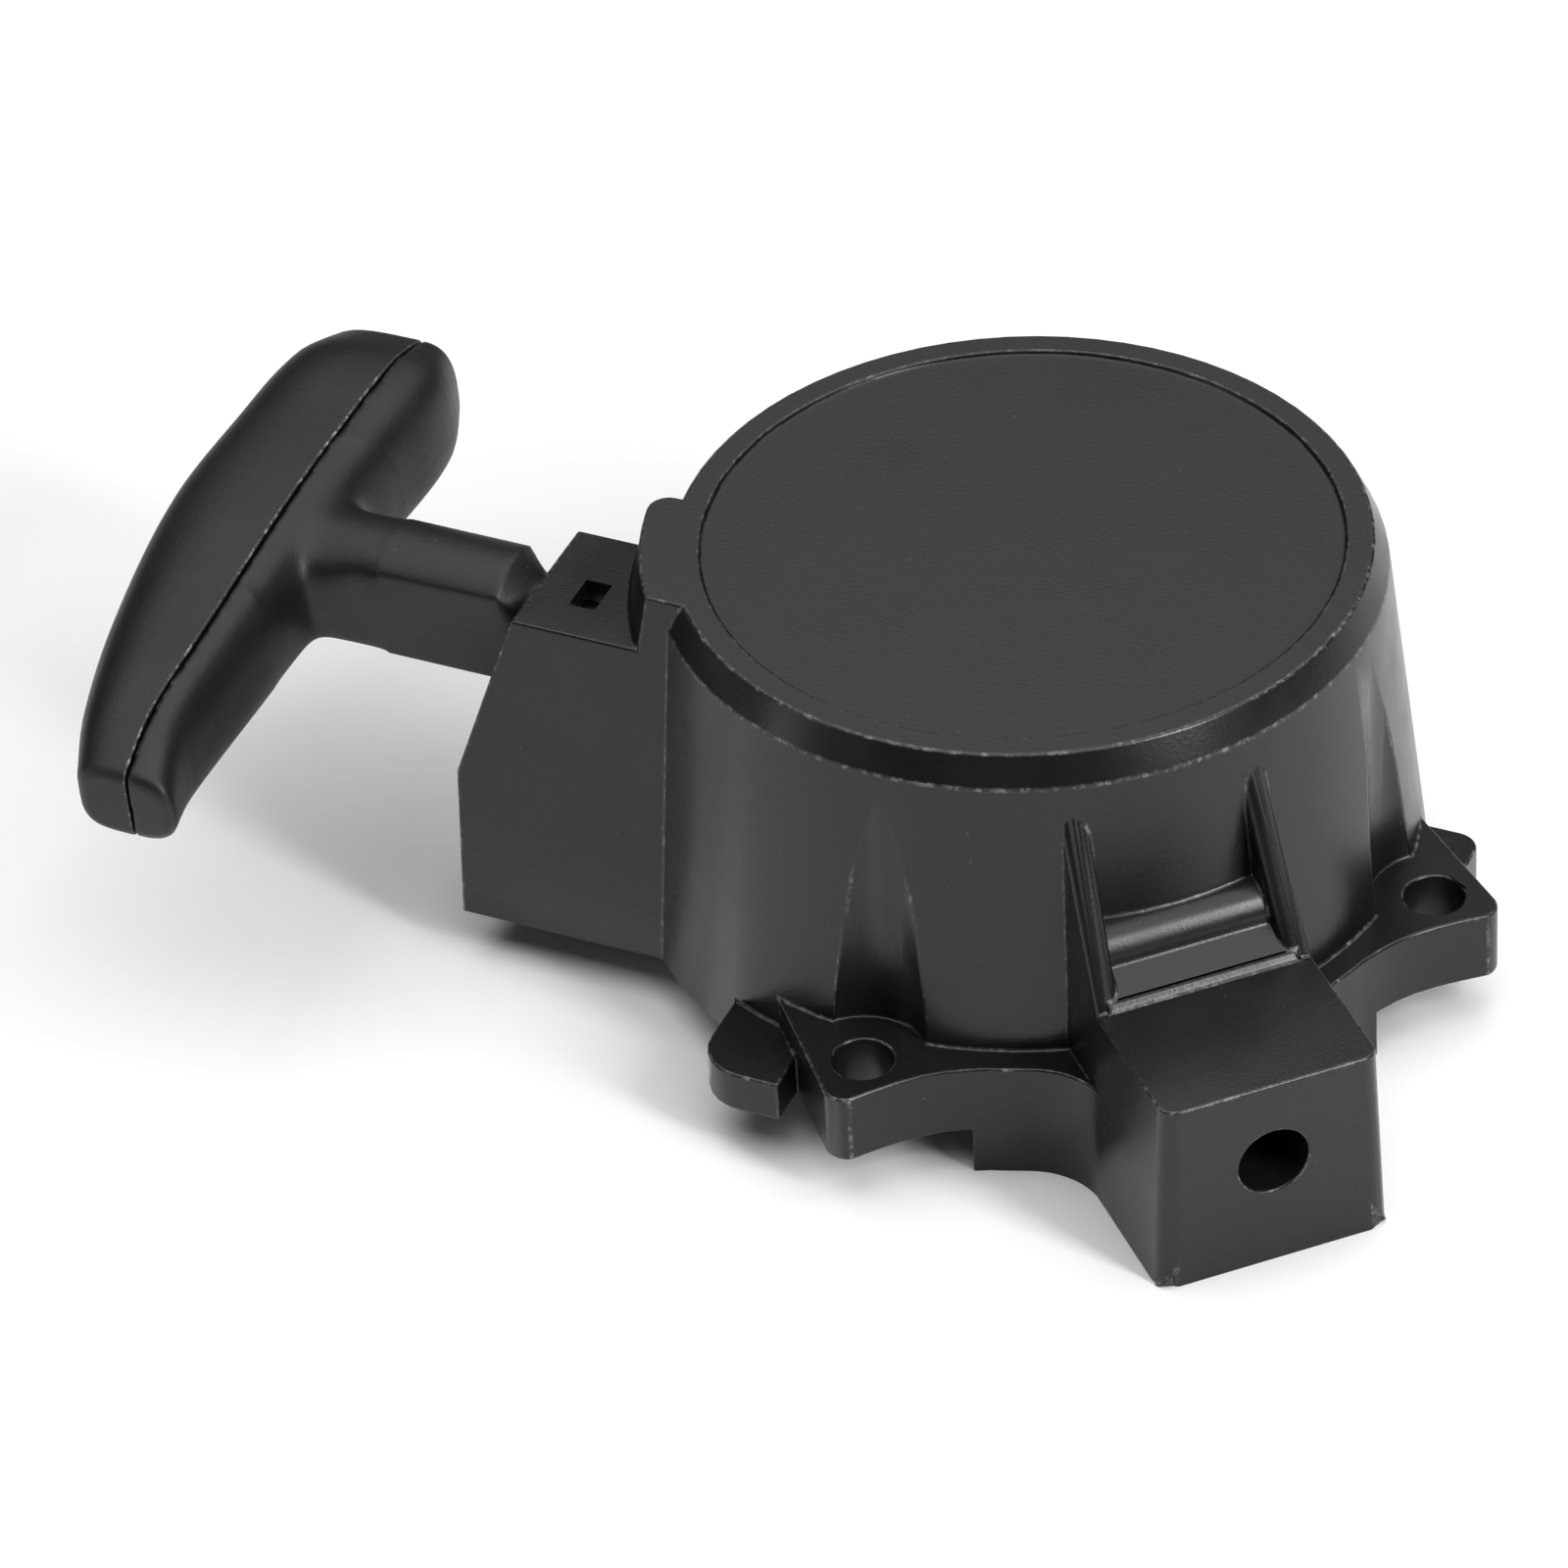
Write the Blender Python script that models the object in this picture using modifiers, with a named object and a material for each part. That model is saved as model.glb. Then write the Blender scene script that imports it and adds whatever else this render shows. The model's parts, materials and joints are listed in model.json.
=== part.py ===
"""Recoil starter for a small engine: a drafted round housing with a rope outlet and a side lug,
a T-handle on a pull rope, and the reel, spring, dogs and ratchet guide inside it.

Frame: +Z up, the reel's axis is the Z axis through the origin, z = 0 is the lowest face of the
skirt and the lug, and the rope leaves along -X.
"""

import math

import bmesh
import bpy
from mathutils import Matrix, Vector

MM = 0.001
GAP = 0.3 * MM
TRIM = 3.0 * MM

# Housing shell
TOP_Z = 57.0 * MM
WALL_TOP_RADIUS = 44.9 * MM
RIM_RADIUS = WALL_TOP_RADIUS - 1.9 * MM
RECESS_RADIUS = RIM_RADIUS - 3.4 * MM
RECESS_DEPTH = 0.6 * MM
CHAMFER_HEIGHT = 4.0 * MM
WALL_DRAFT = 0.103
WALL_THICKNESS = 2.6 * MM
ROOF_THICKNESS = 2.8 * MM

# Mounting flange, ears and skirt
MOUNT_Z = 6.4 * MM
FLANGE_TOP_Z = 16.0 * MM
FLANGE_RADIUS = WALL_TOP_RADIUS + 7.4 * MM
FLANGE_HALF_ANGLE = math.radians(32.0)
EAR_HOLE_RADIUS = 3.75 * MM
EAR_CIRCLE_RADIUS = WALL_TOP_RADIUS + 8.7 * MM
EAR_TIP_RADIUS = 3.0 * MM
EAR_TIP_CENTRE = EAR_CIRCLE_RADIUS + 5.1 * MM
EAR_FREE_ANGLE = math.radians(19.5)
EAR_RING_ANGLE = math.radians(16.5)
EAR_FLANK_BOW = 1.6 * MM
CLEARANCE_RADIUS = 8.2 * MM
OUTLET_CLEARANCE_RADIUS = 5.6 * MM
BULGE_RADIUS = CLEARANCE_RADIUS + 2.4 * MM
TAB_TOP_Z = 12.0 * MM
TAB_REACH = WALL_TOP_RADIUS + 12.7 * MM
TAB_NEAR = 9.8 * MM
TAB_FAR = 21.2 * MM
TAB_CORNER = 6.0 * MM
SIDE_TAB_REACH = WALL_TOP_RADIUS + 8.7 * MM
SIDE_TAB_FAR = 17.6 * MM

# Side lug
LUG_ANGLE = math.radians(-45.0)
LUG_REACH = WALL_TOP_RADIUS + 30.1 * MM
LUG_TOP_Z = 27.0 * MM
LUG_HALF_TOP = 14.0 * MM
LUG_HALF_FOOT = 15.1 * MM
LUG_FILLET = 10.0 * MM
FILLET_BITE = 0.1 * MM
LUG_WALL = 3.2 * MM
LUG_HOLE_RADIUS = 4.5 * MM
LUG_HOLE_DEPTH = 11.0 * MM
LUG_COLLAR_RADIUS = LUG_HOLE_RADIUS + 3.0 * MM
LUG_HOLE_Z = 15.3 * MM
RIB_TIP_Z = TOP_Z - 6.7 * MM
RIB_TIP_OUT = RIM_RADIUS
RIB_FOOT = FLANGE_RADIUS + 2.3 * MM
RIB_THICKNESS = 3.3 * MM
BOSS_TOP_Z = 34.2 * MM
BOSS_ROUND = 4.0 * MM

# Rope outlet
ROPE_Y = -18.6 * MM
ROPE_Z = TOP_Z - 14.1 * MM
ROPE_RADIUS = 1.6 * MM
STEP_Z = TOP_Z - 7.6 * MM
STEP_EDGE_X = -WALL_TOP_RADIUS - 11.7 * MM
SLANT_FOOT_X = STEP_EDGE_X - 7.4 * MM
SLANT_FOOT_Z = STEP_Z - 22.9 * MM
BOX_FOOT_X = SLANT_FOOT_X + 0.8 * MM
BOX_FRONT_Y = -27.0 * MM
BOX_BACK_Y = -8.0 * MM
BOX_DRAFT = 0.148
BOX_BACK_DRAFT = 0.04
BOX_WALL = 2.4 * MM
BOX_ROOT_X = -30.0 * MM
TOWER_RADIUS = WALL_TOP_RADIUS + 2.1 * MM
TOWER_BACK_Y = -6.8 * MM
TOWER_CORNER = 2.6 * MM
TOWER_DRAFT = 0.2
WINDOW_X = STEP_EDGE_X + 7.0 * MM
WINDOW_Y = -19.8 * MM
WINDOW_LENGTH = 3.5 * MM
WINDOW_WIDTH = 5.4 * MM
WEB_OUTER_X = STEP_EDGE_X + 4.2 * MM
WEB_INNER_X = WEB_OUTER_X + 4.4 * MM
MOUTH_RADIUS = 5.9 * MM
MOUTH_FLOOR_RADIUS = MOUTH_RADIUS - 0.9 * MM
NECK_RADIUS = 8.6 * MM
SEAT_RADIUS = NECK_RADIUS + 0.6 * MM
SEAT_FLOOR_X = STEP_EDGE_X - 1.4 * MM
BUSH_BORE = ROPE_RADIUS + 0.5 * MM
BUSH_RADIUS = BUSH_BORE + 1.3 * MM
BUSH_FLANGE_RADIUS = BUSH_RADIUS + 1.2 * MM
BUSH_FLANGE = 0.9 * MM

# Reel and its drive
POST_RADIUS = 5.0 * MM
SPRING_WELL_RADIUS = 27.0 * MM
WELL_WALL = 1.8 * MM
WELL_FOOT_Z = TOP_Z - 7.8 * MM
REEL_RADIUS = WALL_TOP_RADIUS - 7.9 * MM
REEL_TOP_Z = WELL_FOOT_Z - 2 * GAP
REEL_FOOT_Z = REEL_TOP_Z - 9.2 * MM
REEL_FLANGE = 1.3 * MM
REEL_CORE_RADIUS = 20.6 * MM
REEL_BORE = POST_RADIUS + GAP
REEL_COLLAR_RADIUS = REEL_BORE + 2.9 * MM
REEL_COLLAR_Z = TOP_Z - ROOF_THICKNESS - 2 * GAP
REEL_HUB_RADIUS = REEL_BORE + 3.7 * MM
REEL_HUB_Z = REEL_FOOT_Z - 4.0 * MM
REEL_HOLLOW_RADIUS = 18.2 * MM
REEL_HOLLOW_Z = REEL_TOP_Z - 5.2 * MM
WOUND_RADIUS = 27.4 * MM
REEL_KNOT_CIRCLE = 14.2 * MM
REEL_KNOT_RADIUS = 2.9 * MM
POST_FOOT_Z = REEL_HUB_Z - 3.1 * MM
DOG_PIN_RADIUS = 1.5 * MM
DOG_PIN_HEAD_RADIUS = DOG_PIN_RADIUS + 1.0 * MM
DOG_PIN_CIRCLE = 17.0 * MM
DOG_EYE_RADIUS = DOG_PIN_RADIUS + 2.1 * MM
DOG_TOP_Z = REEL_FOOT_Z - 0.5 * MM
DOG_FOOT_Z = DOG_TOP_Z - 3.0 * MM
DOG_REACH = math.radians(62.0)
DOG_TIP_RADIUS = 20.2 * MM
DOG_INNER_RADIUS = 15.0 * MM
GUIDE_RADIUS = 13.2 * MM
GUIDE_TOP_Z = REEL_HUB_Z - GAP
GUIDE_FOOT_Z = GUIDE_TOP_Z - 1.5 * MM
GUIDE_POST_CIRCLE = GUIDE_RADIUS - 1.8 * MM
GUIDE_POST_RADIUS = 1.2 * MM
GUIDE_POST_Z = GUIDE_TOP_Z + 2.7 * MM
BRAKE_RADIUS = REEL_BORE + 1.5 * MM
BRAKE_WIRE = 0.5 * MM
WASHER_RADIUS = POST_RADIUS + 3.5 * MM
WASHER_THICKNESS = 1.1 * MM
SCREW_RADIUS = 2.4 * MM
SCREW_HEAD_RADIUS = SCREW_RADIUS + 2.2 * MM
SCREW_HEAD = 3.0 * MM
SCREW_LENGTH = 14.0 * MM
SPRING_TURNS = 7
SPRING_PITCH = 1.25 * MM
SPRING_THICKNESS = 0.5 * MM
SPRING_FOOT_Z = WELL_FOOT_Z + 0.4 * MM
SPRING_TOP_Z = TOP_Z - ROOF_THICKNESS - 0.8 * MM

# Handle
GRIP_TILT = math.radians(7.6)
GRIP_FAR = 39.5 * MM
GRIP_NEAR = 46.0 * MM
GRIP_HALF_HEIGHT = 8.6 * MM
GRIP_SEAM_X = STEP_EDGE_X - 36.8 * MM
GRIP_SEAM_BOW = 4.2 * MM
GRIP_CAP_DEPTH = 16.4 * MM
GRIP_BODY_DEPTH = 8.6 * MM
GRIP_TAPER = 0.12
GRIP_NEAR_TAPER = 0.45
NECK_HALF_WIDTH = 5.4 * MM
NECK_SHOULDER_X = SEAT_FLOOR_X - 2.4 * MM
NOSE_ROOT_RADIUS = MOUTH_RADIUS - 0.5 * MM
NOSE_ROOT_X = SEAT_FLOOR_X + 0.4 * MM
NOSE_X = WEB_OUTER_X - BUSH_FLANGE - 1.3 * MM
NOSE_RADIUS = MOUTH_FLOOR_RADIUS - 2 * GAP
HANDLE_BORE = ROPE_RADIUS + 2 * GAP
KNOT_POCKET_RADIUS = 6.2 * MM
KNOT_POCKET_FLOOR_X = GRIP_SEAM_X + 8.4 * MM

SEGMENTS = 72
RECESS_SEGMENTS = 100
FINE = 32


def clear_scene():
    for obj in list(bpy.data.objects):
        bpy.data.objects.remove(obj, do_unlink=True)


def new_collection(name, parent):
    collection = bpy.data.collections.new(name)
    parent.children.link(collection)
    return collection


def material(name, colour, roughness, metallic=0.0):
    made = bpy.data.materials.new(name)
    made.use_nodes = True
    shader = made.node_tree.nodes["Principled BSDF"]
    shader.inputs["Base Color"].default_value = (*colour, 1.0)
    shader.inputs["Roughness"].default_value = roughness
    shader.inputs["Metallic"].default_value = metallic
    made.diffuse_color = (*colour, 1.0)
    return made


def object_from(bm, name, collection, look=None):
    bm.normal_update()
    bmesh.ops.recalc_face_normals(bm, faces=bm.faces)
    mesh = bpy.data.meshes.new(name)
    bm.to_mesh(mesh)
    bm.free()
    obj = bpy.data.objects.new(name, mesh)
    collection.objects.link(obj)
    if look is not None:
        mesh.materials.append(look)
    return obj


def loft(rings, name, collection, look=None):
    """Join equal closed rings of points in order, and close both ends."""
    bm = bmesh.new()
    made = [[bm.verts.new(point) for point in ring] for ring in rings]
    for first, second in zip(made, made[1:]):
        count = len(first)
        for i in range(count):
            j = (i + 1) % count
            bm.faces.new((first[i], first[j], second[j], second[i]))
    bm.faces.new(made[0])
    bm.faces.new(reversed(made[-1]))
    return object_from(bm, name, collection, look)


def prism(outline, z_low, z_high, name, collection, look=None):
    rings = [[(x, y, z) for x, y in outline] for z in (z_low, z_high)]
    return loft(rings, name, collection, look)


def cylinder(radius, start, end, name, collection, look=None, end_radius=None, segments=FINE):
    """A cylinder, or a cone frustum, between two points."""
    start = Vector(start)
    end = Vector(end)
    along = end - start
    bm = bmesh.new()
    bmesh.ops.create_cone(
        bm,
        cap_ends=True,
        segments=segments,
        radius1=radius,
        radius2=radius if end_radius is None else end_radius,
        depth=along.length,
    )
    turn = along.to_track_quat("Z", "Y").to_matrix().to_4x4()
    bm.transform(Matrix.Translation((start + end) / 2) @ turn)
    return object_from(bm, name, collection, look)


def box(low, high, name, collection, look=None):
    low = Vector(low)
    high = Vector(high)
    bm = bmesh.new()
    bmesh.ops.create_cube(bm, size=1.0)
    size = high - low
    bm.transform(Matrix.Translation((low + high) / 2) @ Matrix.Diagonal((*size, 1.0)))
    return object_from(bm, name, collection, look)


def turned(profile, name, collection, look=None, segments=SEGMENTS):
    """A solid of revolution about Z: the profile of (radius, z) runs from the top down."""
    mesh = bpy.data.meshes.new(name)
    edges = [(i, i + 1) for i in range(len(profile) - 1)]
    closed = profile[0][0] > 0.0
    if closed:
        edges.append((len(profile) - 1, 0))
    mesh.from_pydata([(r, 0.0, z) for r, z in profile], edges, [])
    obj = bpy.data.objects.new(name, mesh)
    collection.objects.link(obj)
    screw = obj.modifiers.new("Turn", "SCREW")
    screw.axis = "Z"
    screw.steps = segments
    screw.render_steps = segments
    screw.use_merge_vertices = True
    screw.merge_threshold = 0.00001
    if look is not None:
        mesh.materials.append(look)
    return obj


def boolean(obj, tool, operation):
    """Cut, join or intersect one object with a helper that isn't part of the model."""
    modifier = obj.modifiers.new(operation.title(), "BOOLEAN")
    modifier.operation = operation
    modifier.object = tool
    tool.hide_render = True
    tool.display_type = "WIRE"
    return obj


def boolean_all(obj, tools, operation):
    """Cut or join one object with every helper of a collection at once."""
    modifier = obj.modifiers.new(tools.name, "BOOLEAN")
    modifier.operation = operation
    modifier.operand_type = "COLLECTION"
    modifier.collection = tools
    for tool in tools.objects:
        tool.hide_render = True
        tool.display_type = "WIRE"


def polar(radius, angle):
    return radius * math.cos(angle), radius * math.sin(angle)


def arc(radius, start, end, steps, centre=(0.0, 0.0)):
    return [
        (
            centre[0] + radius * math.cos(start + (end - start) * i / steps),
            centre[1] + radius * math.sin(start + (end - start) * i / steps),
        )
        for i in range(steps + 1)
    ]


def wall_radius(z):
    return WALL_TOP_RADIUS + WALL_DRAFT * (TOP_Z - CHAMFER_HEIGHT - z)


def box_front(z):
    return BOX_FRONT_Y - BOX_DRAFT * (TOP_Z - z)


def box_back(z):
    return BOX_BACK_Y + BOX_BACK_DRAFT * (STEP_Z - z)


def lug_point(out, side, z):
    """A point given by its distance from the reel's axis along the lug, and across it."""
    c = math.cos(LUG_ANGLE)
    s = math.sin(LUG_ANGLE)
    return out * c - side * s, out * s + side * c, z


def turned_points(points, angle):
    c = math.cos(angle)
    s = math.sin(angle)
    return [(x * c - y * s, x * s + y * c) for x, y in points]


def bowed(start, end, sink, steps=6):
    """The points between two ends of a flank that curves in by the given sink."""
    start = Vector(start)
    end = Vector(end)
    inward = -((start + end) / 2).normalized()
    points = []
    for i in range(1, steps):
        t = i / steps
        point = start.lerp(end, t) + inward * sink * math.sin(math.pi * t)
        points.append(tuple(point))
    return points


def ear_outline(angle):
    """A pointed ear with a round tip and two straight flanks that run into the wall."""
    root = wall_radius(FLANGE_TOP_Z) - WALL_THICKNESS / 2
    low = polar(root, -EAR_FREE_ANGLE)
    high = polar(root, EAR_FREE_ANGLE)
    reach = math.atan2(EAR_TIP_CENTRE - low[0], -low[1])
    tip = arc(EAR_TIP_RADIUS, -reach, reach, 8, (EAR_TIP_CENTRE, 0.0))
    return turned_points([low, *tip, high], angle)


def flange_outline(side, half):
    """Half of the flange, from inside the lug round its hollow fillet and the ear to the wall."""
    turn = math.pi / 2
    eighth = math.pi / 4
    across = half + LUG_FILLET - FILLET_BITE
    out = math.sqrt((FLANGE_RADIUS + LUG_FILLET) ** 2 - across**2)
    meet = math.atan2(across, out)
    flank = polar(FLANGE_RADIUS, eighth - EAR_RING_ANGLE)
    free = polar(wall_radius(FLANGE_TOP_Z) - WALL_THICKNESS / 2, eighth + EAR_FREE_ANGLE)
    centre = polar(EAR_TIP_CENTRE, eighth)
    first = math.atan2(flank[1] - centre[1], flank[0] - centre[0]) + turn
    last = math.atan2(free[1] - centre[1], free[0] - centre[0]) - turn
    tip = arc(EAR_TIP_RADIUS, first, last, 8, centre)
    points = [polar(RIM_RADIUS, meet / 2), (out, half - LUG_WALL)]
    points += arc(LUG_FILLET, 3 * turn, math.pi + meet, 9, (out, across))
    points += arc(FLANGE_RADIUS, meet, eighth - EAR_RING_ANGLE, 3)[1:]
    points += bowed(flank, tip[0], EAR_FLANK_BOW)
    points += tip
    points += [free, polar(RIM_RADIUS, eighth + EAR_FREE_ANGLE)]
    return [(x, side * y) for x, y in points]


def tab_outline(reach, near, far, corner):
    root = wall_radius(MOUNT_Z)
    bend = (-far + corner, -reach + corner)
    return [
        (-far, -math.sqrt(root**2 - far**2) + 2 * MM),
        *arc(corner, math.pi, 1.5 * math.pi, 6, bend),
        (-near, -reach),
        (-near, -root + 3 * MM),
    ]


def lug_half(z):
    return LUG_HALF_FOOT + (LUG_HALF_TOP - LUG_HALF_FOOT) * z / LUG_TOP_Z


def add_flange(into):
    """The flange with its two ears beside the lug, two more ears, and two tabs."""
    for side in (-1, 1):
        rings = []
        for z in (0.0, FLANGE_TOP_Z):
            outline = flange_outline(side, lug_half(z))
            rings.append([lug_point(out, across, z) for out, across in outline])
        loft(rings, f"flange_{side}", into)
    for i in (1, 2):
        outline = ear_outline(i * math.pi / 2)
        prism(outline, MOUNT_Z - TRIM / 2, FLANGE_TOP_Z, f"ear_{i}", into)
    low = MOUNT_Z - TRIM / 4
    tab = tab_outline(TAB_REACH, TAB_NEAR, TAB_FAR, TAB_CORNER)
    prism(tab, low, TAB_TOP_Z, "tab_front", into)
    tab = tab_outline(SIDE_TAB_REACH, TAB_NEAR, SIDE_TAB_FAR, TAB_CORNER / 2)
    prism([(-y, -x) for x, y in tab], low, TAB_TOP_Z, "tab_side", into)


def across_lug(side_view, low, high, name, into):
    """A prism across the lug whose ends follow the lug's drafted sides, less the given insets."""
    rings = []
    for end, inset in ((-1, low), (1, high)):
        rings.append([lug_point(out, end * (lug_half(z) - inset), z) for out, z in side_view])
    return loft(rings, name, into)


def add_lug(into, helpers):
    """The side lug with the two ribs that stand on it."""
    root = wall_radius(TOP_Z) - 1.5 * MM
    side_view = [(root, 0.0), (LUG_REACH, 0.0), (LUG_REACH, LUG_TOP_Z), (RIB_FOOT, LUG_TOP_Z)]
    side_view += [(RIB_TIP_OUT, RIB_TIP_Z), (RIM_RADIUS - MM, RIB_TIP_Z), (root, LUG_TOP_Z)]
    lug = across_lug(side_view, 0.0, 0.0, "lug_block", into)
    far = RIB_FOOT + 4 * MM
    high = RIB_TIP_Z + 2 * MM
    back = RIM_RADIUS - 3 * MM
    side_view = [(back, LUG_TOP_Z), (far, LUG_TOP_Z), (far, high), (back, high)]
    gap = across_lug(side_view, RIB_THICKNESS, RIB_THICKNESS, "rib_gap", helpers)
    boolean(lug, gap, "DIFFERENCE")


def add_boss(into):
    """The rounded bead on the wall between the two ribs."""
    back = RIM_RADIUS - 2 * MM
    sunk = LUG_TOP_Z - 2 * MM
    bead = (wall_radius(BOSS_TOP_Z) - MM / 2, BOSS_TOP_Z - BOSS_ROUND)
    profile = [(back, sunk), (back, BOSS_TOP_Z)]
    profile += arc(BOSS_ROUND, math.pi / 2, 0.0, 6, bead)
    profile += [(RIB_FOOT - 0.4 * MM, LUG_TOP_Z + MM), (RIB_FOOT + 1.6 * MM, sunk)]
    inset = RIB_THICKNESS / 2
    across_lug(profile, inset, inset, "boss", into)


def add_outlet(into):
    """The drafted box that the rope leaves through, and the sector as high as the roof behind it."""
    side_view = (
        (BOX_ROOT_X, STEP_Z),
        (STEP_EDGE_X, STEP_Z),
        (SLANT_FOOT_X, SLANT_FOOT_Z),
        (BOX_FOOT_X, MOUNT_Z - TRIM / 3),
        (BOX_ROOT_X, MOUNT_Z - TRIM / 3),
    )
    rings = [[(x, y(z), z) for x, z in side_view] for y in (box_front, box_back)]
    loft(rings, "outlet_box", into)
    rings = []
    for z in (STEP_Z - 3 * MM, TOP_Z):
        radius = TOWER_RADIUS + TOWER_DRAFT * (TOP_Z - z)
        front = box_front(z)
        corner_y = TOWER_BACK_Y - TOWER_CORNER
        centre = (-math.sqrt((radius - TOWER_CORNER) ** 2 - corner_y**2), corner_y)
        turn = 2 * math.pi + math.atan2(centre[1], centre[0])
        end = math.pi + math.asin(-front / radius)
        ring = [(BOX_ROOT_X, TOWER_BACK_Y)]
        ring += arc(TOWER_CORNER, math.pi / 2, turn, 5, centre)
        ring += arc(radius, turn, end, 10)[1:]
        ring += [(BOX_ROOT_X, front)]
        rings.append([(x, y, z) for x, y in ring])
    loft(rings, "tower", into)


def add_cavity(into, helpers):
    """The room for the reel, thickened inwards where the ears' clearances bite into the wall."""
    roof = TOP_Z - ROOF_THICKNESS
    profile = [
        (0.0, roof),
        (wall_radius(roof) - WALL_THICKNESS, roof),
        (wall_radius(0.0) - WALL_THICKNESS, -2 * TRIM),
        (0.0, -2 * TRIM),
    ]
    cavity = turned(profile, "cavity", into)
    for i in (0, 1, 3):
        x, y = polar(EAR_CIRCLE_RADIUS, i * math.pi / 2)
        low = (x, y, -3 * TRIM)
        bulge = cylinder(BULGE_RADIUS, low, (x, y, TOP_Z + TRIM), f"bulge_{i}", helpers)
        boolean(cavity, bulge, "DIFFERENCE")


def add_box_cavity(into):
    """The hollow of the outlet box, open below and into the shell, in front of the bush's web."""
    roof = STEP_Z - BOX_WALL
    low = MOUNT_Z - TRIM
    slope = (SLANT_FOOT_X - STEP_EDGE_X) / (SLANT_FOOT_Z - STEP_Z)
    under = ROPE_Z - SEAT_RADIUS - 1.6 * MM
    slant_x = STEP_EDGE_X + slope * (under - STEP_Z) + BOX_WALL
    root = BOX_ROOT_X
    upper = ((root, roof), (WEB_INNER_X, roof), (WEB_INNER_X, under - MM), (root, under - MM))
    lower = (
        (root, under),
        (slant_x, under),
        (SLANT_FOOT_X + BOX_WALL, SLANT_FOOT_Z - MM),
        (BOX_FOOT_X + BOX_WALL, low),
        (root, low),
    )
    for name, side_view in (("box_hollow_top", upper), ("box_hollow", lower)):
        rings = [
            [(x, box_front(z) + BOX_WALL, z) for x, z in side_view],
            [(x, box_back(z) - BOX_WALL, z) for x, z in side_view],
        ]
        loft(rings, name, into)


def add_lug_core(into):
    near = FLANGE_RADIUS + 2 * MM
    far = LUG_REACH - LUG_WALL
    rings = []
    for z, half in ((-TRIM, LUG_HALF_FOOT), (LUG_TOP_Z - LUG_WALL, LUG_HALF_TOP)):
        side = half - LUG_WALL
        corners = ((near, -side), (far, -side), (far, side), (near, side))
        rings.append([lug_point(out, across, z) for out, across in corners])
    loft(rings, "lug_core", into)


def add_holes(into):
    """The ears' bolt holes and driver room, the lug's hole, the window and the rope's mouth."""
    for i in range(4):
        x, y = polar(EAR_CIRCLE_RADIUS, i * math.pi / 2)
        cylinder(EAR_HOLE_RADIUS, (x, y, -TRIM), (x, y, TOP_Z), f"ear_hole_{i}", into)
        room = OUTLET_CLEARANCE_RADIUS if i == 2 else CLEARANCE_RADIUS
        low = (x, y, FLANGE_TOP_Z)
        cylinder(room, low, (x, y, TOP_Z + MM), f"driver_room_{i}", into)
    half = Vector((WINDOW_LENGTH / 2, WINDOW_WIDTH / 2, 0.0))
    middle = Vector((WINDOW_X, WINDOW_Y, 0.0))
    low = middle - half + Vector((0, 0, ROPE_Z + 2.2 * MM))
    box(low, middle + half + Vector((0, 0, TOP_Z)), "window", into)
    flare = (MOUTH_RADIUS - MOUTH_FLOOR_RADIUS) / (WEB_OUTER_X - STEP_EDGE_X)
    grow = MOUTH_FLOOR_RADIUS + flare * (WEB_OUTER_X - SLANT_FOOT_X)
    start = (SLANT_FOOT_X, ROPE_Y, ROPE_Z)
    end = (WEB_OUTER_X, ROPE_Y, ROPE_Z)
    cylinder(grow, start, end, "mouth", into, end_radius=MOUTH_FLOOR_RADIUS)
    end = (SEAT_FLOOR_X, ROPE_Y, ROPE_Z)
    cylinder(SEAT_RADIUS, (SLANT_FOOT_X - TRIM, ROPE_Y, ROPE_Z), end, "neck_seat", into)
    start = (WEB_OUTER_X - MM, ROPE_Y, ROPE_Z)
    end = (WEB_INNER_X + MM, ROPE_Y, ROPE_Z)
    cylinder(BUSH_RADIUS + GAP, start, end, "bush_seat", into)


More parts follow.
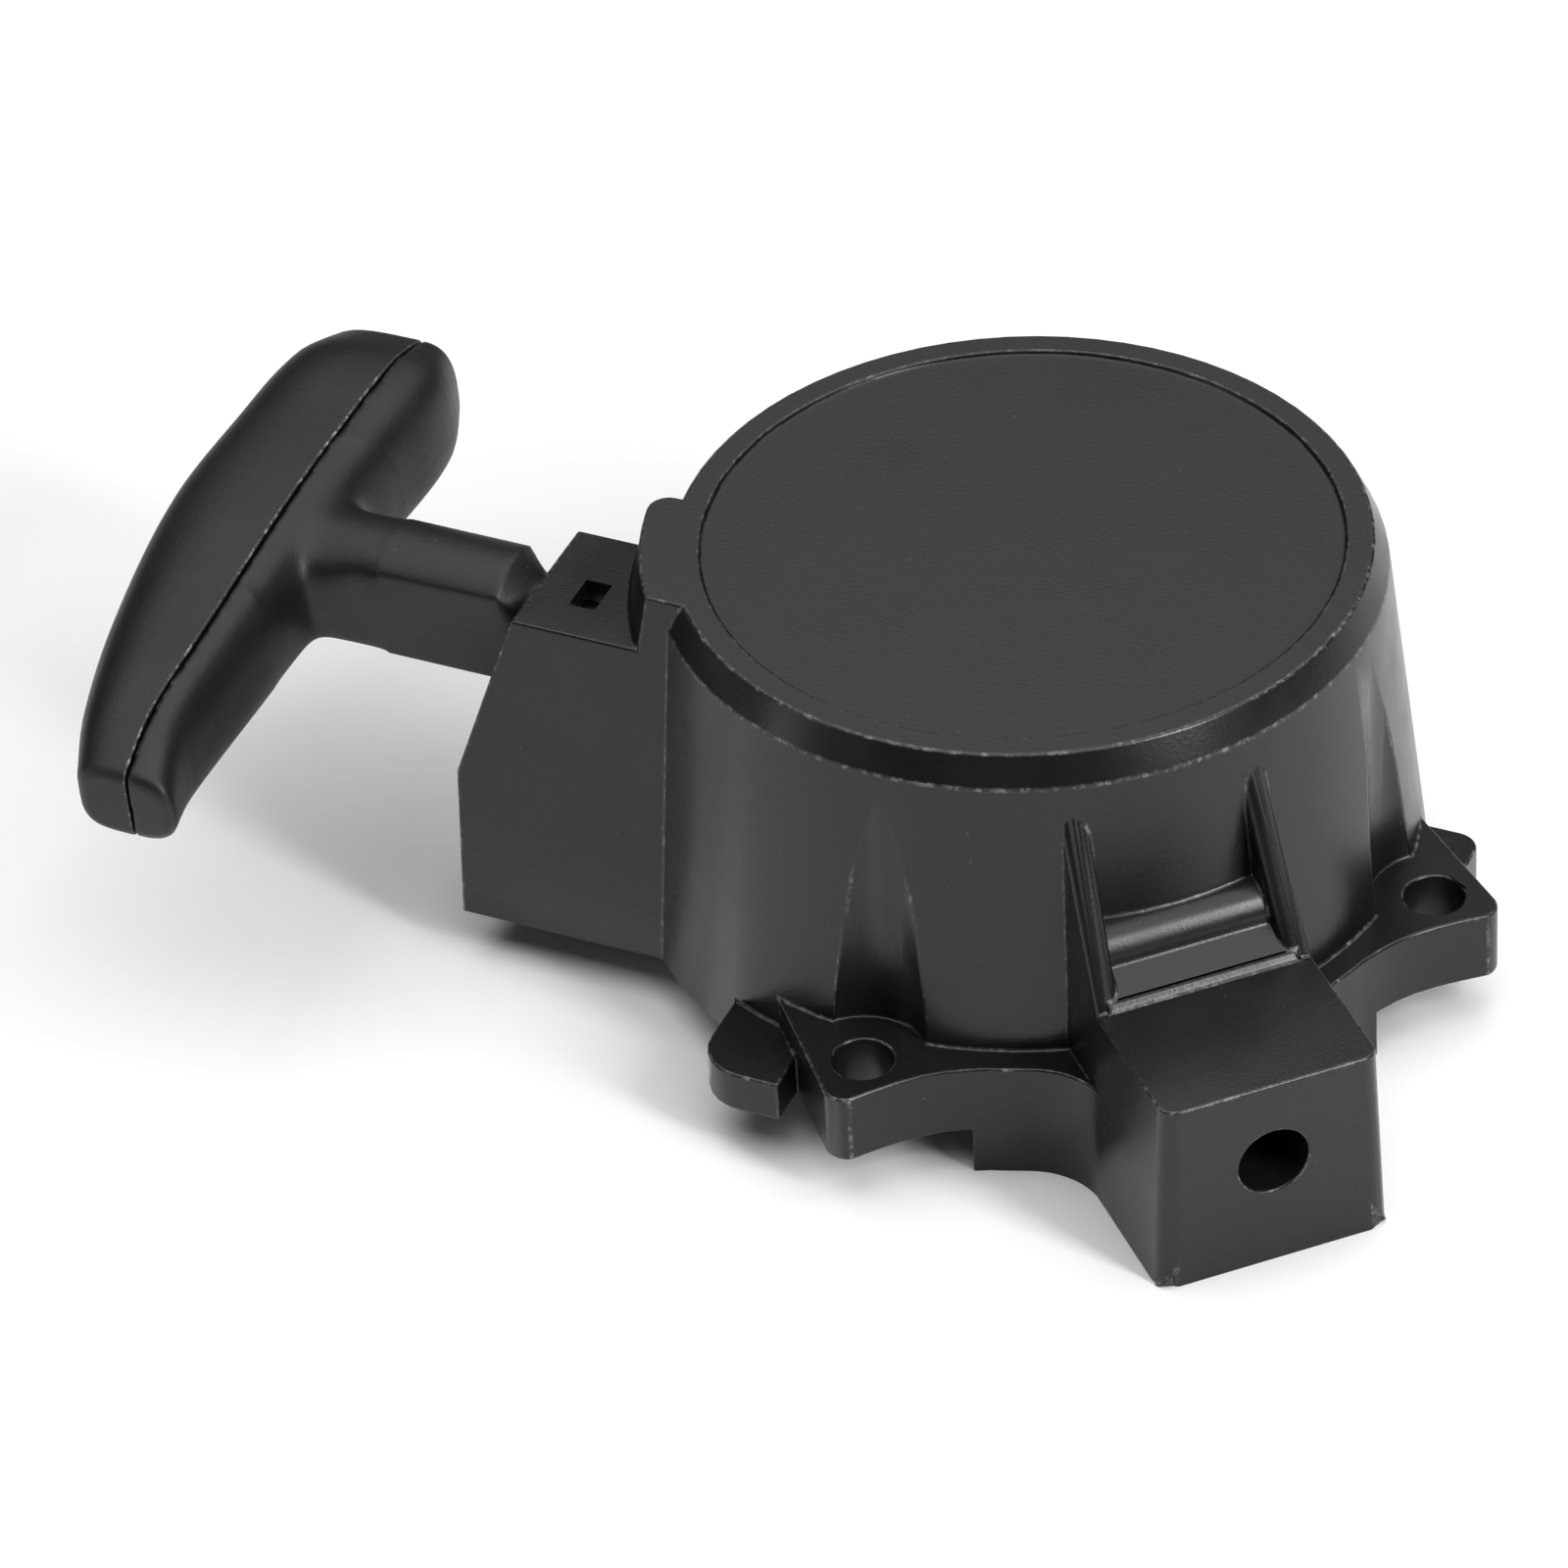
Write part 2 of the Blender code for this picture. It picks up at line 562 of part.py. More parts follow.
def make_housing(parts, cutters, look):
    profile = [
        (0.0, TOP_Z),
        (RIM_RADIUS, TOP_Z),
        (WALL_TOP_RADIUS, TOP_Z - CHAMFER_HEIGHT),
        (wall_radius(MOUNT_Z - TRIM), MOUNT_Z - TRIM),
        (0.0, MOUNT_Z - TRIM),
    ]
    housing = turned(profile, "housing", parts, look)
    outside = new_collection("housing_outside", cutters)
    add_flange(outside)
    add_lug(outside, cutters)
    add_boss(outside)
    add_outlet(outside)
    boolean_all(housing, outside, "UNION")

    inside = new_collection("housing_inside", cutters)
    add_cavity(inside, cutters)
    add_box_cavity(inside)
    add_lug_core(inside)
    add_holes(inside)
    low = (0.0, 0.0, TOP_Z - RECESS_DEPTH)
    cylinder(RECESS_RADIUS, low, (0.0, 0.0, TOP_Z + MM), "recess", inside, segments=RECESS_SEGMENTS)
    apex = polar(TRIM, LUG_ANGLE)
    first = LUG_ANGLE + FLANGE_HALF_ANGLE
    last = LUG_ANGLE - FLANGE_HALF_ANGLE + 2 * math.pi
    below = [apex, *arc(2 * LUG_REACH, first, last, 36)]
    prism(below, -4 * TRIM, MOUNT_Z, "below_mount", inside)
    boolean_all(housing, inside, "DIFFERENCE")

    fittings = new_collection("housing_fittings", cutters)
    cylinder(POST_RADIUS, (0, 0, POST_FOOT_Z), (0, 0, TOP_Z - MM), "post", fittings)
    top = TOP_Z - ROOF_THICKNESS + MM
    profile = [
        (SPRING_WELL_RADIUS, top),
        (SPRING_WELL_RADIUS + WELL_WALL, top),
        (SPRING_WELL_RADIUS + WELL_WALL, WELL_FOOT_Z),
        (SPRING_WELL_RADIUS, WELL_FOOT_Z),
    ]
    turned(profile, "spring_well", fittings)
    start = lug_point(LUG_REACH - LUG_HOLE_DEPTH - 2 * MM, 0.0, LUG_HOLE_Z)
    end = lug_point(LUG_REACH - MM, 0.0, LUG_HOLE_Z)
    cylinder(LUG_COLLAR_RADIUS, start, end, "lug_collar", fittings)
    boolean_all(housing, fittings, "UNION")

    bores = new_collection("housing_bores", cutters)
    slot_low = (SPRING_WELL_RADIUS - MM, -0.9 * MM, WELL_FOOT_Z - MM)
    slot_high = (SPRING_WELL_RADIUS + 3 * MM, 0.9 * MM, TOP_Z - ROOF_THICKNESS - 0.2 * MM)
    box(slot_low, slot_high, "spring_slot", bores)
    start = (0, 0, POST_FOOT_Z - MM)
    end = (0, 0, POST_FOOT_Z + SCREW_LENGTH + MM)
    cylinder(SCREW_RADIUS + GAP, start, end, "screw_hole", bores)
    start = lug_point(LUG_REACH - LUG_HOLE_DEPTH, 0.0, LUG_HOLE_Z)
    end = lug_point(LUG_REACH + 2 * MM, 0.0, LUG_HOLE_Z)
    cylinder(LUG_HOLE_RADIUS, start, end, "lug_hole", bores)
    boolean_all(housing, bores, "DIFFERENCE")
    return housing


def grip_section(s, depth_sign, depth, half_height):
    """Half of the grip's oval section at the distance s along it, closed by its flat seam face."""
    bow = GRIP_SEAM_BOW * (s / GRIP_NEAR) ** 2
    seam = GRIP_SEAM_X + bow + depth_sign * GAP / 2
    points = []
    for i in range(13):
        turn = math.pi * i / 12 - math.pi / 2
        out = max(math.cos(turn), 0.0) ** 0.75
        high = math.copysign(abs(math.sin(turn)) ** 0.85, turn)
        points.append((seam + depth_sign * depth * out, half_height * high))
    c = math.cos(GRIP_TILT)
    n = math.sin(GRIP_TILT)
    return [(x, ROPE_Y + s * c - h * n, ROPE_Z + s * n + h * c) for x, h in points]


def grip_half(depth_sign, depth, name, collection, look):
    stations = 16
    rings = []
    for i in range(stations + 1):
        along = math.sin(math.pi * (i / stations - 0.5))
        s = along * (GRIP_FAR if along > 0 else GRIP_NEAR)
        close = max(1.0 - abs(along) ** 6, 0.0) ** 0.5
        scale = 0.45 + 0.55 * close
        thins = along < 0 and depth_sign > 0
        taper = 1.0 - (GRIP_NEAR_TAPER if thins else GRIP_TAPER) * abs(along)
        rings.append(grip_section(s, depth_sign, depth * scale * taper, GRIP_HALF_HEIGHT * scale))
    return loft(rings, name, collection, look)


def neck_ring(x, radius, half_width):
    """The neck's section: a circle with two flats."""
    ring = []
    for i in range(FINE):
        turn = 2 * math.pi * i / FINE
        across = max(-half_width, min(half_width, radius * math.cos(turn)))
        ring.append((x, across, radius * math.sin(turn)))
    c = math.cos(GRIP_TILT)
    n = math.sin(GRIP_TILT)
    return [(x, ROPE_Y + a * c - h * n, ROPE_Z + a * n + h * c) for x, a, h in ring]


def make_handle(parts, cutters, look, steel):
    body = grip_half(1, GRIP_BODY_DEPTH, "handle_body", parts, look)
    neck = loft(
        [
            neck_ring(GRIP_SEAM_X + 2 * MM, NECK_RADIUS - 0.6 * MM, NECK_RADIUS),
            neck_ring(GRIP_SEAM_X + 6.9 * MM, NECK_RADIUS - 0.3 * MM, NECK_RADIUS + 3 * MM),
            neck_ring(GRIP_SEAM_X + 11.4 * MM, NECK_RADIUS - 0.2 * MM, NECK_HALF_WIDTH + 0.8 * MM),
            neck_ring(GRIP_SEAM_X + 14.4 * MM, NECK_RADIUS, NECK_HALF_WIDTH),
            neck_ring(NECK_SHOULDER_X, NECK_RADIUS, NECK_HALF_WIDTH),
            neck_ring(NOSE_ROOT_X, NOSE_ROOT_RADIUS, NECK_HALF_WIDTH + 2 * MM),
            neck_ring(NOSE_X, NOSE_RADIUS, NECK_HALF_WIDTH + 2 * MM),
        ],
        "neck",
        cutters,
    )
    boolean(body, neck, "UNION")
    pocket_low = (GRIP_SEAM_X - MM, ROPE_Y, ROPE_Z)
    floor = (KNOT_POCKET_FLOOR_X, ROPE_Y, ROPE_Z)
    boolean(body, cylinder(KNOT_POCKET_RADIUS, pocket_low, floor, "pocket", cutters), "DIFFERENCE")
    bore = cylinder(HANDLE_BORE, pocket_low, (NOSE_X + MM, ROPE_Y, ROPE_Z), "rope_bore", cutters)
    boolean(body, bore, "DIFFERENCE")
    cap = grip_half(-1, GRIP_CAP_DEPTH, "handle_cap", parts, look)
    hollow_low = (GRIP_SEAM_X - 5 * MM, ROPE_Y, ROPE_Z)
    hollow_high = (GRIP_SEAM_X + 2 * MM, ROPE_Y, ROPE_Z)
    hollow = cylinder(KNOT_POCKET_RADIUS, hollow_low, hollow_high, "cap_hollow", cutters)
    boolean(cap, hollow, "DIFFERENCE")
    washer_low = (KNOT_POCKET_FLOOR_X - GAP - MM, ROPE_Y, ROPE_Z)
    washer_high = (KNOT_POCKET_FLOOR_X - GAP, ROPE_Y, ROPE_Z)
    washer = cylinder(KNOT_POCKET_RADIUS - 0.8 * MM, washer_low, washer_high, "knot_washer", parts, steel)
    hole = cylinder(HANDLE_BORE, pocket_low, (NOSE_X, ROPE_Y, ROPE_Z), "washer_hole", cutters)
    boolean(washer, hole, "DIFFERENCE")
    return body, cap, washer


def make_reel(parts, cutters, look):
    """The pulley: a collar that winds the spring, a rope groove and a hub that carries the dogs."""
    groove_top = REEL_TOP_Z - REEL_FLANGE
    groove_foot = REEL_FOOT_Z + REEL_FLANGE
    profile = [
        (REEL_BORE, REEL_COLLAR_Z),
        (REEL_COLLAR_RADIUS, REEL_COLLAR_Z),
        (REEL_COLLAR_RADIUS, REEL_HOLLOW_Z),
        (REEL_HOLLOW_RADIUS, REEL_HOLLOW_Z),
        (REEL_HOLLOW_RADIUS, REEL_TOP_Z),
        (REEL_RADIUS, REEL_TOP_Z),
        (REEL_RADIUS, groove_top),
        (REEL_CORE_RADIUS, groove_top - 0.4 * MM),
        (REEL_CORE_RADIUS, groove_foot + 0.4 * MM),
        (REEL_RADIUS, groove_foot),
        (REEL_RADIUS, REEL_FOOT_Z),
        (REEL_HUB_RADIUS, REEL_FOOT_Z),
        (REEL_HUB_RADIUS, REEL_HUB_Z),
        (REEL_BORE, REEL_HUB_Z),
    ]
    reel = turned(profile, "reel", parts, look, 64)
    tools = new_collection("reel_cuts", cutters)
    for i in range(2):
        x, y = polar(DOG_PIN_CIRCLE, i * math.pi)
        low = (x, y, REEL_FOOT_Z - MM)
        cylinder(DOG_PIN_RADIUS + GAP, low, (x, y, REEL_FOOT_Z + 2.6 * MM), f"pin_hole_{i}", tools)
    x, y = polar(REEL_KNOT_CIRCLE, math.pi / 2)
    low = (x, y, REEL_HOLLOW_Z - 1.2 * MM)
    cylinder(REEL_KNOT_RADIUS + GAP, low, (x, y, REEL_TOP_Z), "knot_room", tools)
    knot_z = REEL_HOLLOW_Z + 1.9 * MM
    start = (0.0, REEL_KNOT_CIRCLE, knot_z)
    end = (0.0, REEL_CORE_RADIUS + MM, knot_z)
    cylinder(ROPE_RADIUS + GAP, start, end, "rope_passage", tools)
    boolean_all(reel, tools, "DIFFERENCE")
    return reel


def make_wound_rope(parts, look):
    """Two ropes side by side in the groove, as one ring with a scalloped outer face."""
    inner = REEL_CORE_RADIUS + GAP
    top = REEL_TOP_Z - REEL_FLANGE - 2 * GAP
    foot = REEL_FOOT_Z + REEL_FLANGE + 2 * GAP
    middle = (top + foot) / 2
    round_radius = (top - foot) / 4
    centre_r = WOUND_RADIUS - round_radius
    profile = [(inner, top)]
    for centre_z in (middle + round_radius, middle - round_radius):
        bow = arc(round_radius, math.pi / 2, -math.pi / 2, 4, (centre_r, centre_z))
        profile += [(r, z) for r, z in bow[:-1]]
    profile += [(centre_r, foot), (inner, foot)]
    return turned(profile, "rope_wound", parts, look, 48)


def rope_start(angle_back):
    """The tangent that the rope leaves the reel along, towards the inner end of the bush."""
    radius = WOUND_RADIUS + GAP + ROPE_RADIUS
    inner_end = (WEB_INNER_X + 2 * MM, ROPE_Y)
    distance = math.hypot(*inner_end)
    heading = math.atan2(inner_end[1], inner_end[0])
    touch = heading + math.acos(radius / distance)
    points = arc(radius, touch + angle_back, touch, 6)
    contact = points[-1]
    for i in range(1, 6):
        t = i / 6
        points.append(
            (contact[0] + (inner_end[0] - contact[0]) * t, contact[1] + (inner_end[1] - contact[1]) * t)
        )
    return [(x, y, ROPE_Z) for x, y in points]


def wire(points, radius, name, collection, look, sides=2, cyclic=False):
    data = bpy.data.curves.new(name, "CURVE")
    data.dimensions = "3D"
    data.bevel_depth = radius
    data.bevel_resolution = sides
    data.use_fill_caps = not cyclic
    spline = data.splines.new("POLY")
    spline.points.add(len(points) - 1)
    for point, place in zip(spline.points, points):
        point.co = (*place, 1.0)
    spline.use_cyclic_u = cyclic
    obj = bpy.data.objects.new(name, data)
    collection.objects.link(obj)
    data.materials.append(look)
    return obj


def make_rope(parts, rope_look):
    make_wound_rope(parts, rope_look)
    run = rope_start(math.radians(50.0))
    wire(run, ROPE_RADIUS, "rope_run", parts, rope_look)
    start = (WEB_INNER_X + 1.4 * MM, ROPE_Y, ROPE_Z)
    end = (KNOT_POCKET_FLOOR_X - 2 * GAP - 1.4 * MM, ROPE_Y, ROPE_Z)
    steps = 8
    line = [Vector(start).lerp(Vector(end), i / steps) for i in range(steps + 1)]
    wire([tuple(point) for point in line], ROPE_RADIUS, "rope_lead", parts, rope_look)
    knot(parts, "handle_knot", end[0] - GAP, 3.1 * MM, rope_look)


def knot(parts, name, x_face, radius, look):
    """A tight overhand knot, as a short fat ball with its flat against the washer's side."""
    bm = bmesh.new()
    bmesh.ops.create_uvsphere(bm, u_segments=16, v_segments=10, radius=radius)
    place = Matrix.Translation((x_face - radius * 1.15, ROPE_Y, ROPE_Z))
    bm.transform(place @ Matrix.Diagonal((1.15, 1.25, 1.25, 1.0)))
    return object_from(bm, name, parts, look)


def make_reel_knot(parts, look):
    """The rope's inner knot in the reel, with the short tail that runs to the groove."""
    z = REEL_HOLLOW_Z + 1.9 * MM
    bm = bmesh.new()
    bmesh.ops.create_uvsphere(bm, u_segments=16, v_segments=10, radius=REEL_KNOT_RADIUS)
    bm.transform(Matrix.Translation((0.0, REEL_KNOT_CIRCLE, z)))
    return object_from(bm, "reel_knot", parts, look)


def make_spring(parts, look):
    """The flat spiral spring, let down against the well's wall, with its inner tail by the collar."""
    steps = 30
    count = SPRING_TURNS * steps
    outer = SPRING_WELL_RADIUS - GAP - SPRING_THICKNESS
    line = []
    for i in range(count + 1):
        turn = i / steps
        radius = outer - SPRING_PITCH * turn
        line.append(polar(radius, -2 * math.pi * turn))
    last = outer - SPRING_PITCH * SPRING_TURNS
    inner = REEL_COLLAR_RADIUS + 0.9 * MM
    tail = int(steps * 1.3)
    for i in range(1, tail + 1):
        t = i / tail
        line.append(polar(last + (inner - last) * t, -2 * math.pi * t * 1.3))
    half = SPRING_THICKNESS / 2
    rings = []
    for i, (x, y) in enumerate(line):
        radius = math.hypot(x, y)
        rings.append([
            (x * (radius - half) / radius, y * (radius - half) / radius, SPRING_FOOT_Z),
            (x * (radius + half) / radius, y * (radius + half) / radius, SPRING_FOOT_Z),
            (x * (radius + half) / radius, y * (radius + half) / radius, SPRING_TOP_Z),
            (x * (radius - half) / radius, y * (radius - half) / radius, SPRING_TOP_Z),
        ])
    return loft(rings, "recoil_spring", parts, look)


def dog_outline():
    """A pawl round its pin's eye, curving back from it to a square tip."""
    eye = (DOG_PIN_CIRCLE, 0.0)
    points = arc(DOG_EYE_RADIUS, -0.35 * math.pi, 1.2 * math.pi, 12, eye)
    inner = arc(DOG_INNER_RADIUS, math.radians(-14.0), -DOG_REACH, 6)
    outer = arc(DOG_TIP_RADIUS, -DOG_REACH + math.radians(5.0), math.radians(-12.0), 6)
    return points + inner + outer


def make_dogs(parts, cutters, steel, zinc):
    for i, letter in enumerate("ab"):
        angle = i * math.pi
        x, y = polar(DOG_PIN_CIRCLE, angle)
        outline = turned_points(dog_outline(), angle)
        local = [(px - x, py - y) for px, py in outline]
        dog = prism(local, DOG_FOOT_Z, DOG_TOP_Z, f"dog_{letter}", parts, steel)
        dog.location = (x, y, 0.0)
        low = (x, y, DOG_FOOT_Z - MM)
        eye = cylinder(DOG_PIN_RADIUS + GAP, low, (x, y, DOG_TOP_Z + MM), f"dog_eye_{i}", cutters)
        boolean(dog, eye, "DIFFERENCE")
        profile = [
            (0.0, REEL_FOOT_Z + 2.2 * MM),
            (DOG_PIN_RADIUS, REEL_FOOT_Z + 2.2 * MM),
            (DOG_PIN_RADIUS, DOG_FOOT_Z - GAP),
            (DOG_PIN_HEAD_RADIUS, DOG_FOOT_Z - GAP),
            (DOG_PIN_HEAD_RADIUS, DOG_FOOT_Z - GAP - MM),
            (0.0, DOG_FOOT_Z - GAP - MM),
        ]
        pin = turned(profile, f"dog_pin_{letter}", parts, zinc, 24)
        pin.location = (x, y, 0.0)
    ring = arc(REEL_HUB_RADIUS + 0.7 * MM, 0.35, 2 * math.pi - 0.35, 24)
    points = [(x, y, DOG_TOP_Z - GAP) for x, y in ring]
    wire(points, 0.3 * MM, "dog_return_spring", parts, zinc, 1)


def make_guide(parts, cutters, steel, zinc):
    profile = [
        (REEL_BORE, GUIDE_TOP_Z),
        (GUIDE_RADIUS, GUIDE_TOP_Z),
        (GUIDE_RADIUS, GUIDE_FOOT_Z),
        (REEL_BORE, GUIDE_FOOT_Z),
    ]
    guide = turned(profile, "ratchet_guide", parts, steel, 48)
    posts = new_collection("guide_posts", cutters)
    for i in range(2):
        x, y = polar(GUIDE_POST_CIRCLE, i * math.pi - math.radians(60.0))
        low = (x, y, GUIDE_FOOT_Z + 0.5 * MM)
        cylinder(GUIDE_POST_RADIUS, low, (x, y, GUIDE_POST_Z), f"guide_post_{i}", posts, segments=16)
    boolean_all(guide, posts, "UNION")
    middle = GUIDE_FOOT_Z - GAP - BRAKE_WIRE
    ring = arc(BRAKE_RADIUS, 0.4, 2 * math.pi - 0.4, 28)
    wire([(x, y, middle) for x, y in ring], BRAKE_WIRE, "brake_spring", parts, zinc)
    top = POST_FOOT_Z - GAP
    profile = [
        (SCREW_RADIUS + GAP, top),
        (WASHER_RADIUS, top),
        (WASHER_RADIUS, top - WASHER_THICKNESS),
        (SCREW_RADIUS + GAP, top - WASHER_THICKNESS),
    ]
    turned(profile, "centre_washer", parts, zinc, 40)
    seat = top - WASHER_THICKNESS - GAP
    profile = [
        (0.0, seat + SCREW_LENGTH),
        (SCREW_RADIUS, seat + SCREW_LENGTH),
        (SCREW_RADIUS, seat),
        (SCREW_HEAD_RADIUS, seat),
        (SCREW_HEAD_RADIUS, seat - SCREW_HEAD * 0.7),
        (SCREW_HEAD_RADIUS * 0.72, seat - SCREW_HEAD),
        (0.0, seat - SCREW_HEAD),
    ]
    screw = turned(profile, "centre_screw", parts, zinc, 32)
    arm = 0.55 * MM
    reach = 2.3 * MM
    foot = seat - SCREW_HEAD
    cross = new_collection("screw_cross", cutters)
    box((-arm, -reach, foot - MM), (arm, reach, foot + 1.5 * MM), "cross_a", cross)
    box((-reach, -arm, foot - MM), (reach, arm, foot + 1.4 * MM), "cross_b", cross)
    boolean_all(screw, cross, "DIFFERENCE")


def make_bush(parts, look):
    """The rope's wear bush, seated in the outlet's web with its flange outside."""
    profile = [
        (BUSH_BORE + 0.7 * MM, BUSH_FLANGE),
        (BUSH_FLANGE_RADIUS, BUSH_FLANGE),
        (BUSH_FLANGE_RADIUS, GAP),
        (BUSH_RADIUS, GAP),
        (BUSH_RADIUS, WEB_OUTER_X - WEB_INNER_X + GAP),
        (BUSH_BORE, WEB_OUTER_X - WEB_INNER_X + GAP),
        (BUSH_BORE, 0.0),
    ]
    bush = turned(profile, "rope_bush", parts, look, 32)
    bush.location = (WEB_OUTER_X, ROPE_Y, ROPE_Z)
    bush.rotation_euler = (0.0, -math.pi / 2, 0.0)
    return bush


def main():
    clear_scene()
    scene = bpy.context.scene.collection
    parts = new_collection("recoil_starter", scene)
    cutters = new_collection("cutters", scene)
    plastic = material("black_moulded_plastic", (0.022, 0.022, 0.023), 0.38)
    grip_look = material("black_grip_plastic", (0.024, 0.024, 0.025), 0.45)
    reel_look = material("natural_nylon", (0.55, 0.53, 0.47), 0.5)
    rope_look = material("braided_rope", (0.35, 0.35, 0.34), 0.85)
    spring_look = material("spring_steel", (0.33, 0.33, 0.34), 0.3, 1.0)
    steel = material("hardened_steel", (0.42, 0.42, 0.42), 0.35, 1.0)
    zinc = material("zinc_plated_steel", (0.62, 0.62, 0.6), 0.32, 1.0)
    make_housing(parts, cutters, plastic)
    make_handle(parts, cutters, grip_look, zinc)
    make_bush(parts, steel)
    make_reel(parts, cutters, reel_look)
    make_rope(parts, rope_look)
    make_reel_knot(parts, rope_look)
    make_spring(parts, spring_look)
    make_dogs(parts, cutters, steel, zinc)
    make_guide(parts, cutters, steel, zinc)


main()
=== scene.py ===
"""The looks of a recoil starter: moulded shell, pull grip, rope, reel, drive and studio."""

import json
import math

import bmesh
import bpy
from mathutils import Matrix, Vector

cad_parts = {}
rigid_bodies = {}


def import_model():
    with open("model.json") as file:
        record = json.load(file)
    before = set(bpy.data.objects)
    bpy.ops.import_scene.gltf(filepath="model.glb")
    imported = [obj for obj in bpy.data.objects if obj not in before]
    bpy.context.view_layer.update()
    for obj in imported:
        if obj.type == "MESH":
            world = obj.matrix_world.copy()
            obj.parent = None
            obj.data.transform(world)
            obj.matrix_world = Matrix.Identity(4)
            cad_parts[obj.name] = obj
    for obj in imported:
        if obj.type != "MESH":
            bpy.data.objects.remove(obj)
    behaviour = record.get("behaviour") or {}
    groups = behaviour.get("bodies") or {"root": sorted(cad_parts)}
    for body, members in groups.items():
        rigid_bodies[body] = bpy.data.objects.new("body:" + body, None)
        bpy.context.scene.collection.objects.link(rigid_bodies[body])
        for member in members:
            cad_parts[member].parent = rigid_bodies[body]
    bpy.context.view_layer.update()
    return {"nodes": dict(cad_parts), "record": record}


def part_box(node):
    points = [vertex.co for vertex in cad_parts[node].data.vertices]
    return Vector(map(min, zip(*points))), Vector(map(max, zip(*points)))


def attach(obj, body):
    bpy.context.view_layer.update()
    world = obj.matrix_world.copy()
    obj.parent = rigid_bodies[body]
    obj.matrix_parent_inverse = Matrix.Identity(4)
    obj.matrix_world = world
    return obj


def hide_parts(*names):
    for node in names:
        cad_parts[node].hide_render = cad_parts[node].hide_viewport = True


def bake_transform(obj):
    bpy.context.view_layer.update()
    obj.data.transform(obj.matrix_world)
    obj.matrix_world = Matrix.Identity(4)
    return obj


bl_info = {
    "name": "Recoil starter looks",
    "version": (1, 0, 0),
    "blender": (4, 5, 0),
    "location": "3D View > Sidebar > Starter",
    "description": "Builds the finished surfaces of a recoil starter round its CAD frame",
    "category": "Object",
}

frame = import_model()

MM = 0.001
BODY_OF = {
    node: body
    for body, nodes in frame["record"]["behaviour"]["bodies"].items()
    for node in nodes
}

# How a carried-over solid is cleaned before its edges are rounded.
MERGE = 0.02 * MM
FLAT_ANGLE = math.radians(0.5)
SHARP_ANGLE = math.radians(25.0)
CREASE_ANGLE = math.radians(40.0)
SHORTEST = 0.03 * MM

# The shell, as its CAD solid stands.
LUG_ANGLE = math.radians(-45.0)
LUG_REACH = 75.0 * MM
LUG_TOP_Z = 27.0 * MM
LUG_HALF = 14.0 * MM
LUG_HALF_FOOT = 15.1 * MM
RIB_TIP_Z = 50.3 * MM
RIB_TIP_OUT = 43.0 * MM
RIB_FOOT = 54.6 * MM
ROOF_Z = 56.0 * MM
CHAMFER_Z = 53.0 * MM
WALL_TOP_RADIUS = 44.9 * MM
WINDOW_LOW = (-51.6 * MM, -22.8 * MM)
WINDOW_HIGH = (-47.6 * MM, -16.8 * MM)

# The specular level of every moulded skin, chosen under this light.
SKIN_GLOSS = 0.42

# The pull grip, about its rope.
ROPE_Y = -18.6 * MM
ROPE_Z = 42.9 * MM
GRIP_TILT = math.radians(5.2)
GRIP_FAR = 37.7 * MM
GRIP_NEAR = 47.5 * MM
# Along the grip from its near end: the share of its length, the seam's x, and the cap's depth,
# the body's depth and the half height as shares of their sizes at the middle.
GRIP_STATIONS = (
    (-1.0, -91.0 * MM, 0.41, 0.88, 0.55),
    (-0.8, -91.7 * MM, 0.59, 0.67, 0.81),
    (-0.45, -91.6 * MM, 0.84, 0.72, 0.91),
    (0.0, -91.6 * MM, 1.0, 0.88, 1.0),
    (0.45, -91.2 * MM, 0.97, 1.0, 1.01),
    (0.8, -90.5 * MM, 0.92, 1.01, 0.98),
    (1.0, -90.3 * MM, 0.74, 0.61, 0.72),
)
NECK_ROOT_X = -91.4 * MM
END_ROUND = 1.4 * MM
SEAM_GAP = 0.3 * MM
NECK_RADIUS = 8.6 * MM
NECK_HALF_WIDTH = 5.4 * MM
# The holes along the rope: the knot's seat and the rope's own, each radius, start x and end x.
GRIP_BORES = (
    (6.2 * MM, NECK_ROOT_X - MM, -85.0 * MM),
    (2.2 * MM, -90.0 * MM, -50.0 * MM),
)
# The stretch round the neck's root that is smoothed into a fillet, in x and off the rope.
FILLET_X = (-90.5 * MM, -77.0 * MM)
FILLET_OFF = (6.8 * MM, 17.0 * MM)
SKIN_VOXEL = 0.42 * MM

# The rope, from the winding to the bush and out.
PULL_LENGTH = 0.62
ROPE_RADIUS = 1.6 * MM
WOUND_RADIUS = 27.4 * MM
WOUND_GAP = 0.3 * MM
BUSH_END_X = -46.0 * MM
KNOT_STRAND = 1.15 * MM
KNOT_SPREAD = 0.62 * MM
KNOT_ROPE = 30 * MM

# Where the camera stands: it looks down on the front right of the housing.
CAMERA_PLACE = (0.348105, -0.794369, 0.699932)
CAMERA_TURN = (51.882, 2.598, 23.664)
CAMERA_LENS = 202.5
CAMERA_AZIMUTH = math.radians(-66.3)

# Glowing strips by the housing's foot, hidden from the camera, that draw streaks on the wall for
# this camera only. Each row: the way the wall faces at its streak, in degrees, and its length.
REFLECTORS = ((-117.0, 80 * MM), (-88.0, 80 * MM))
WALL_FOOT_RADIUS = 50.0 * MM
REFLECTOR_GAP = 4 * MM
REFLECTOR_HEIGHT = 1.0 * MM
REFLECTOR_WIDTH = 9 * MM


def linear(text):
    """An sRGB hex colour as linear RGBA."""
    levels = [int(text[i : i + 2], 16) / 255 for i in (1, 3, 5)]
    out = [v / 12.92 if v <= 0.04045 else ((v + 0.055) / 1.055) ** 2.4 for v in levels]
    return (*out, 1.0)


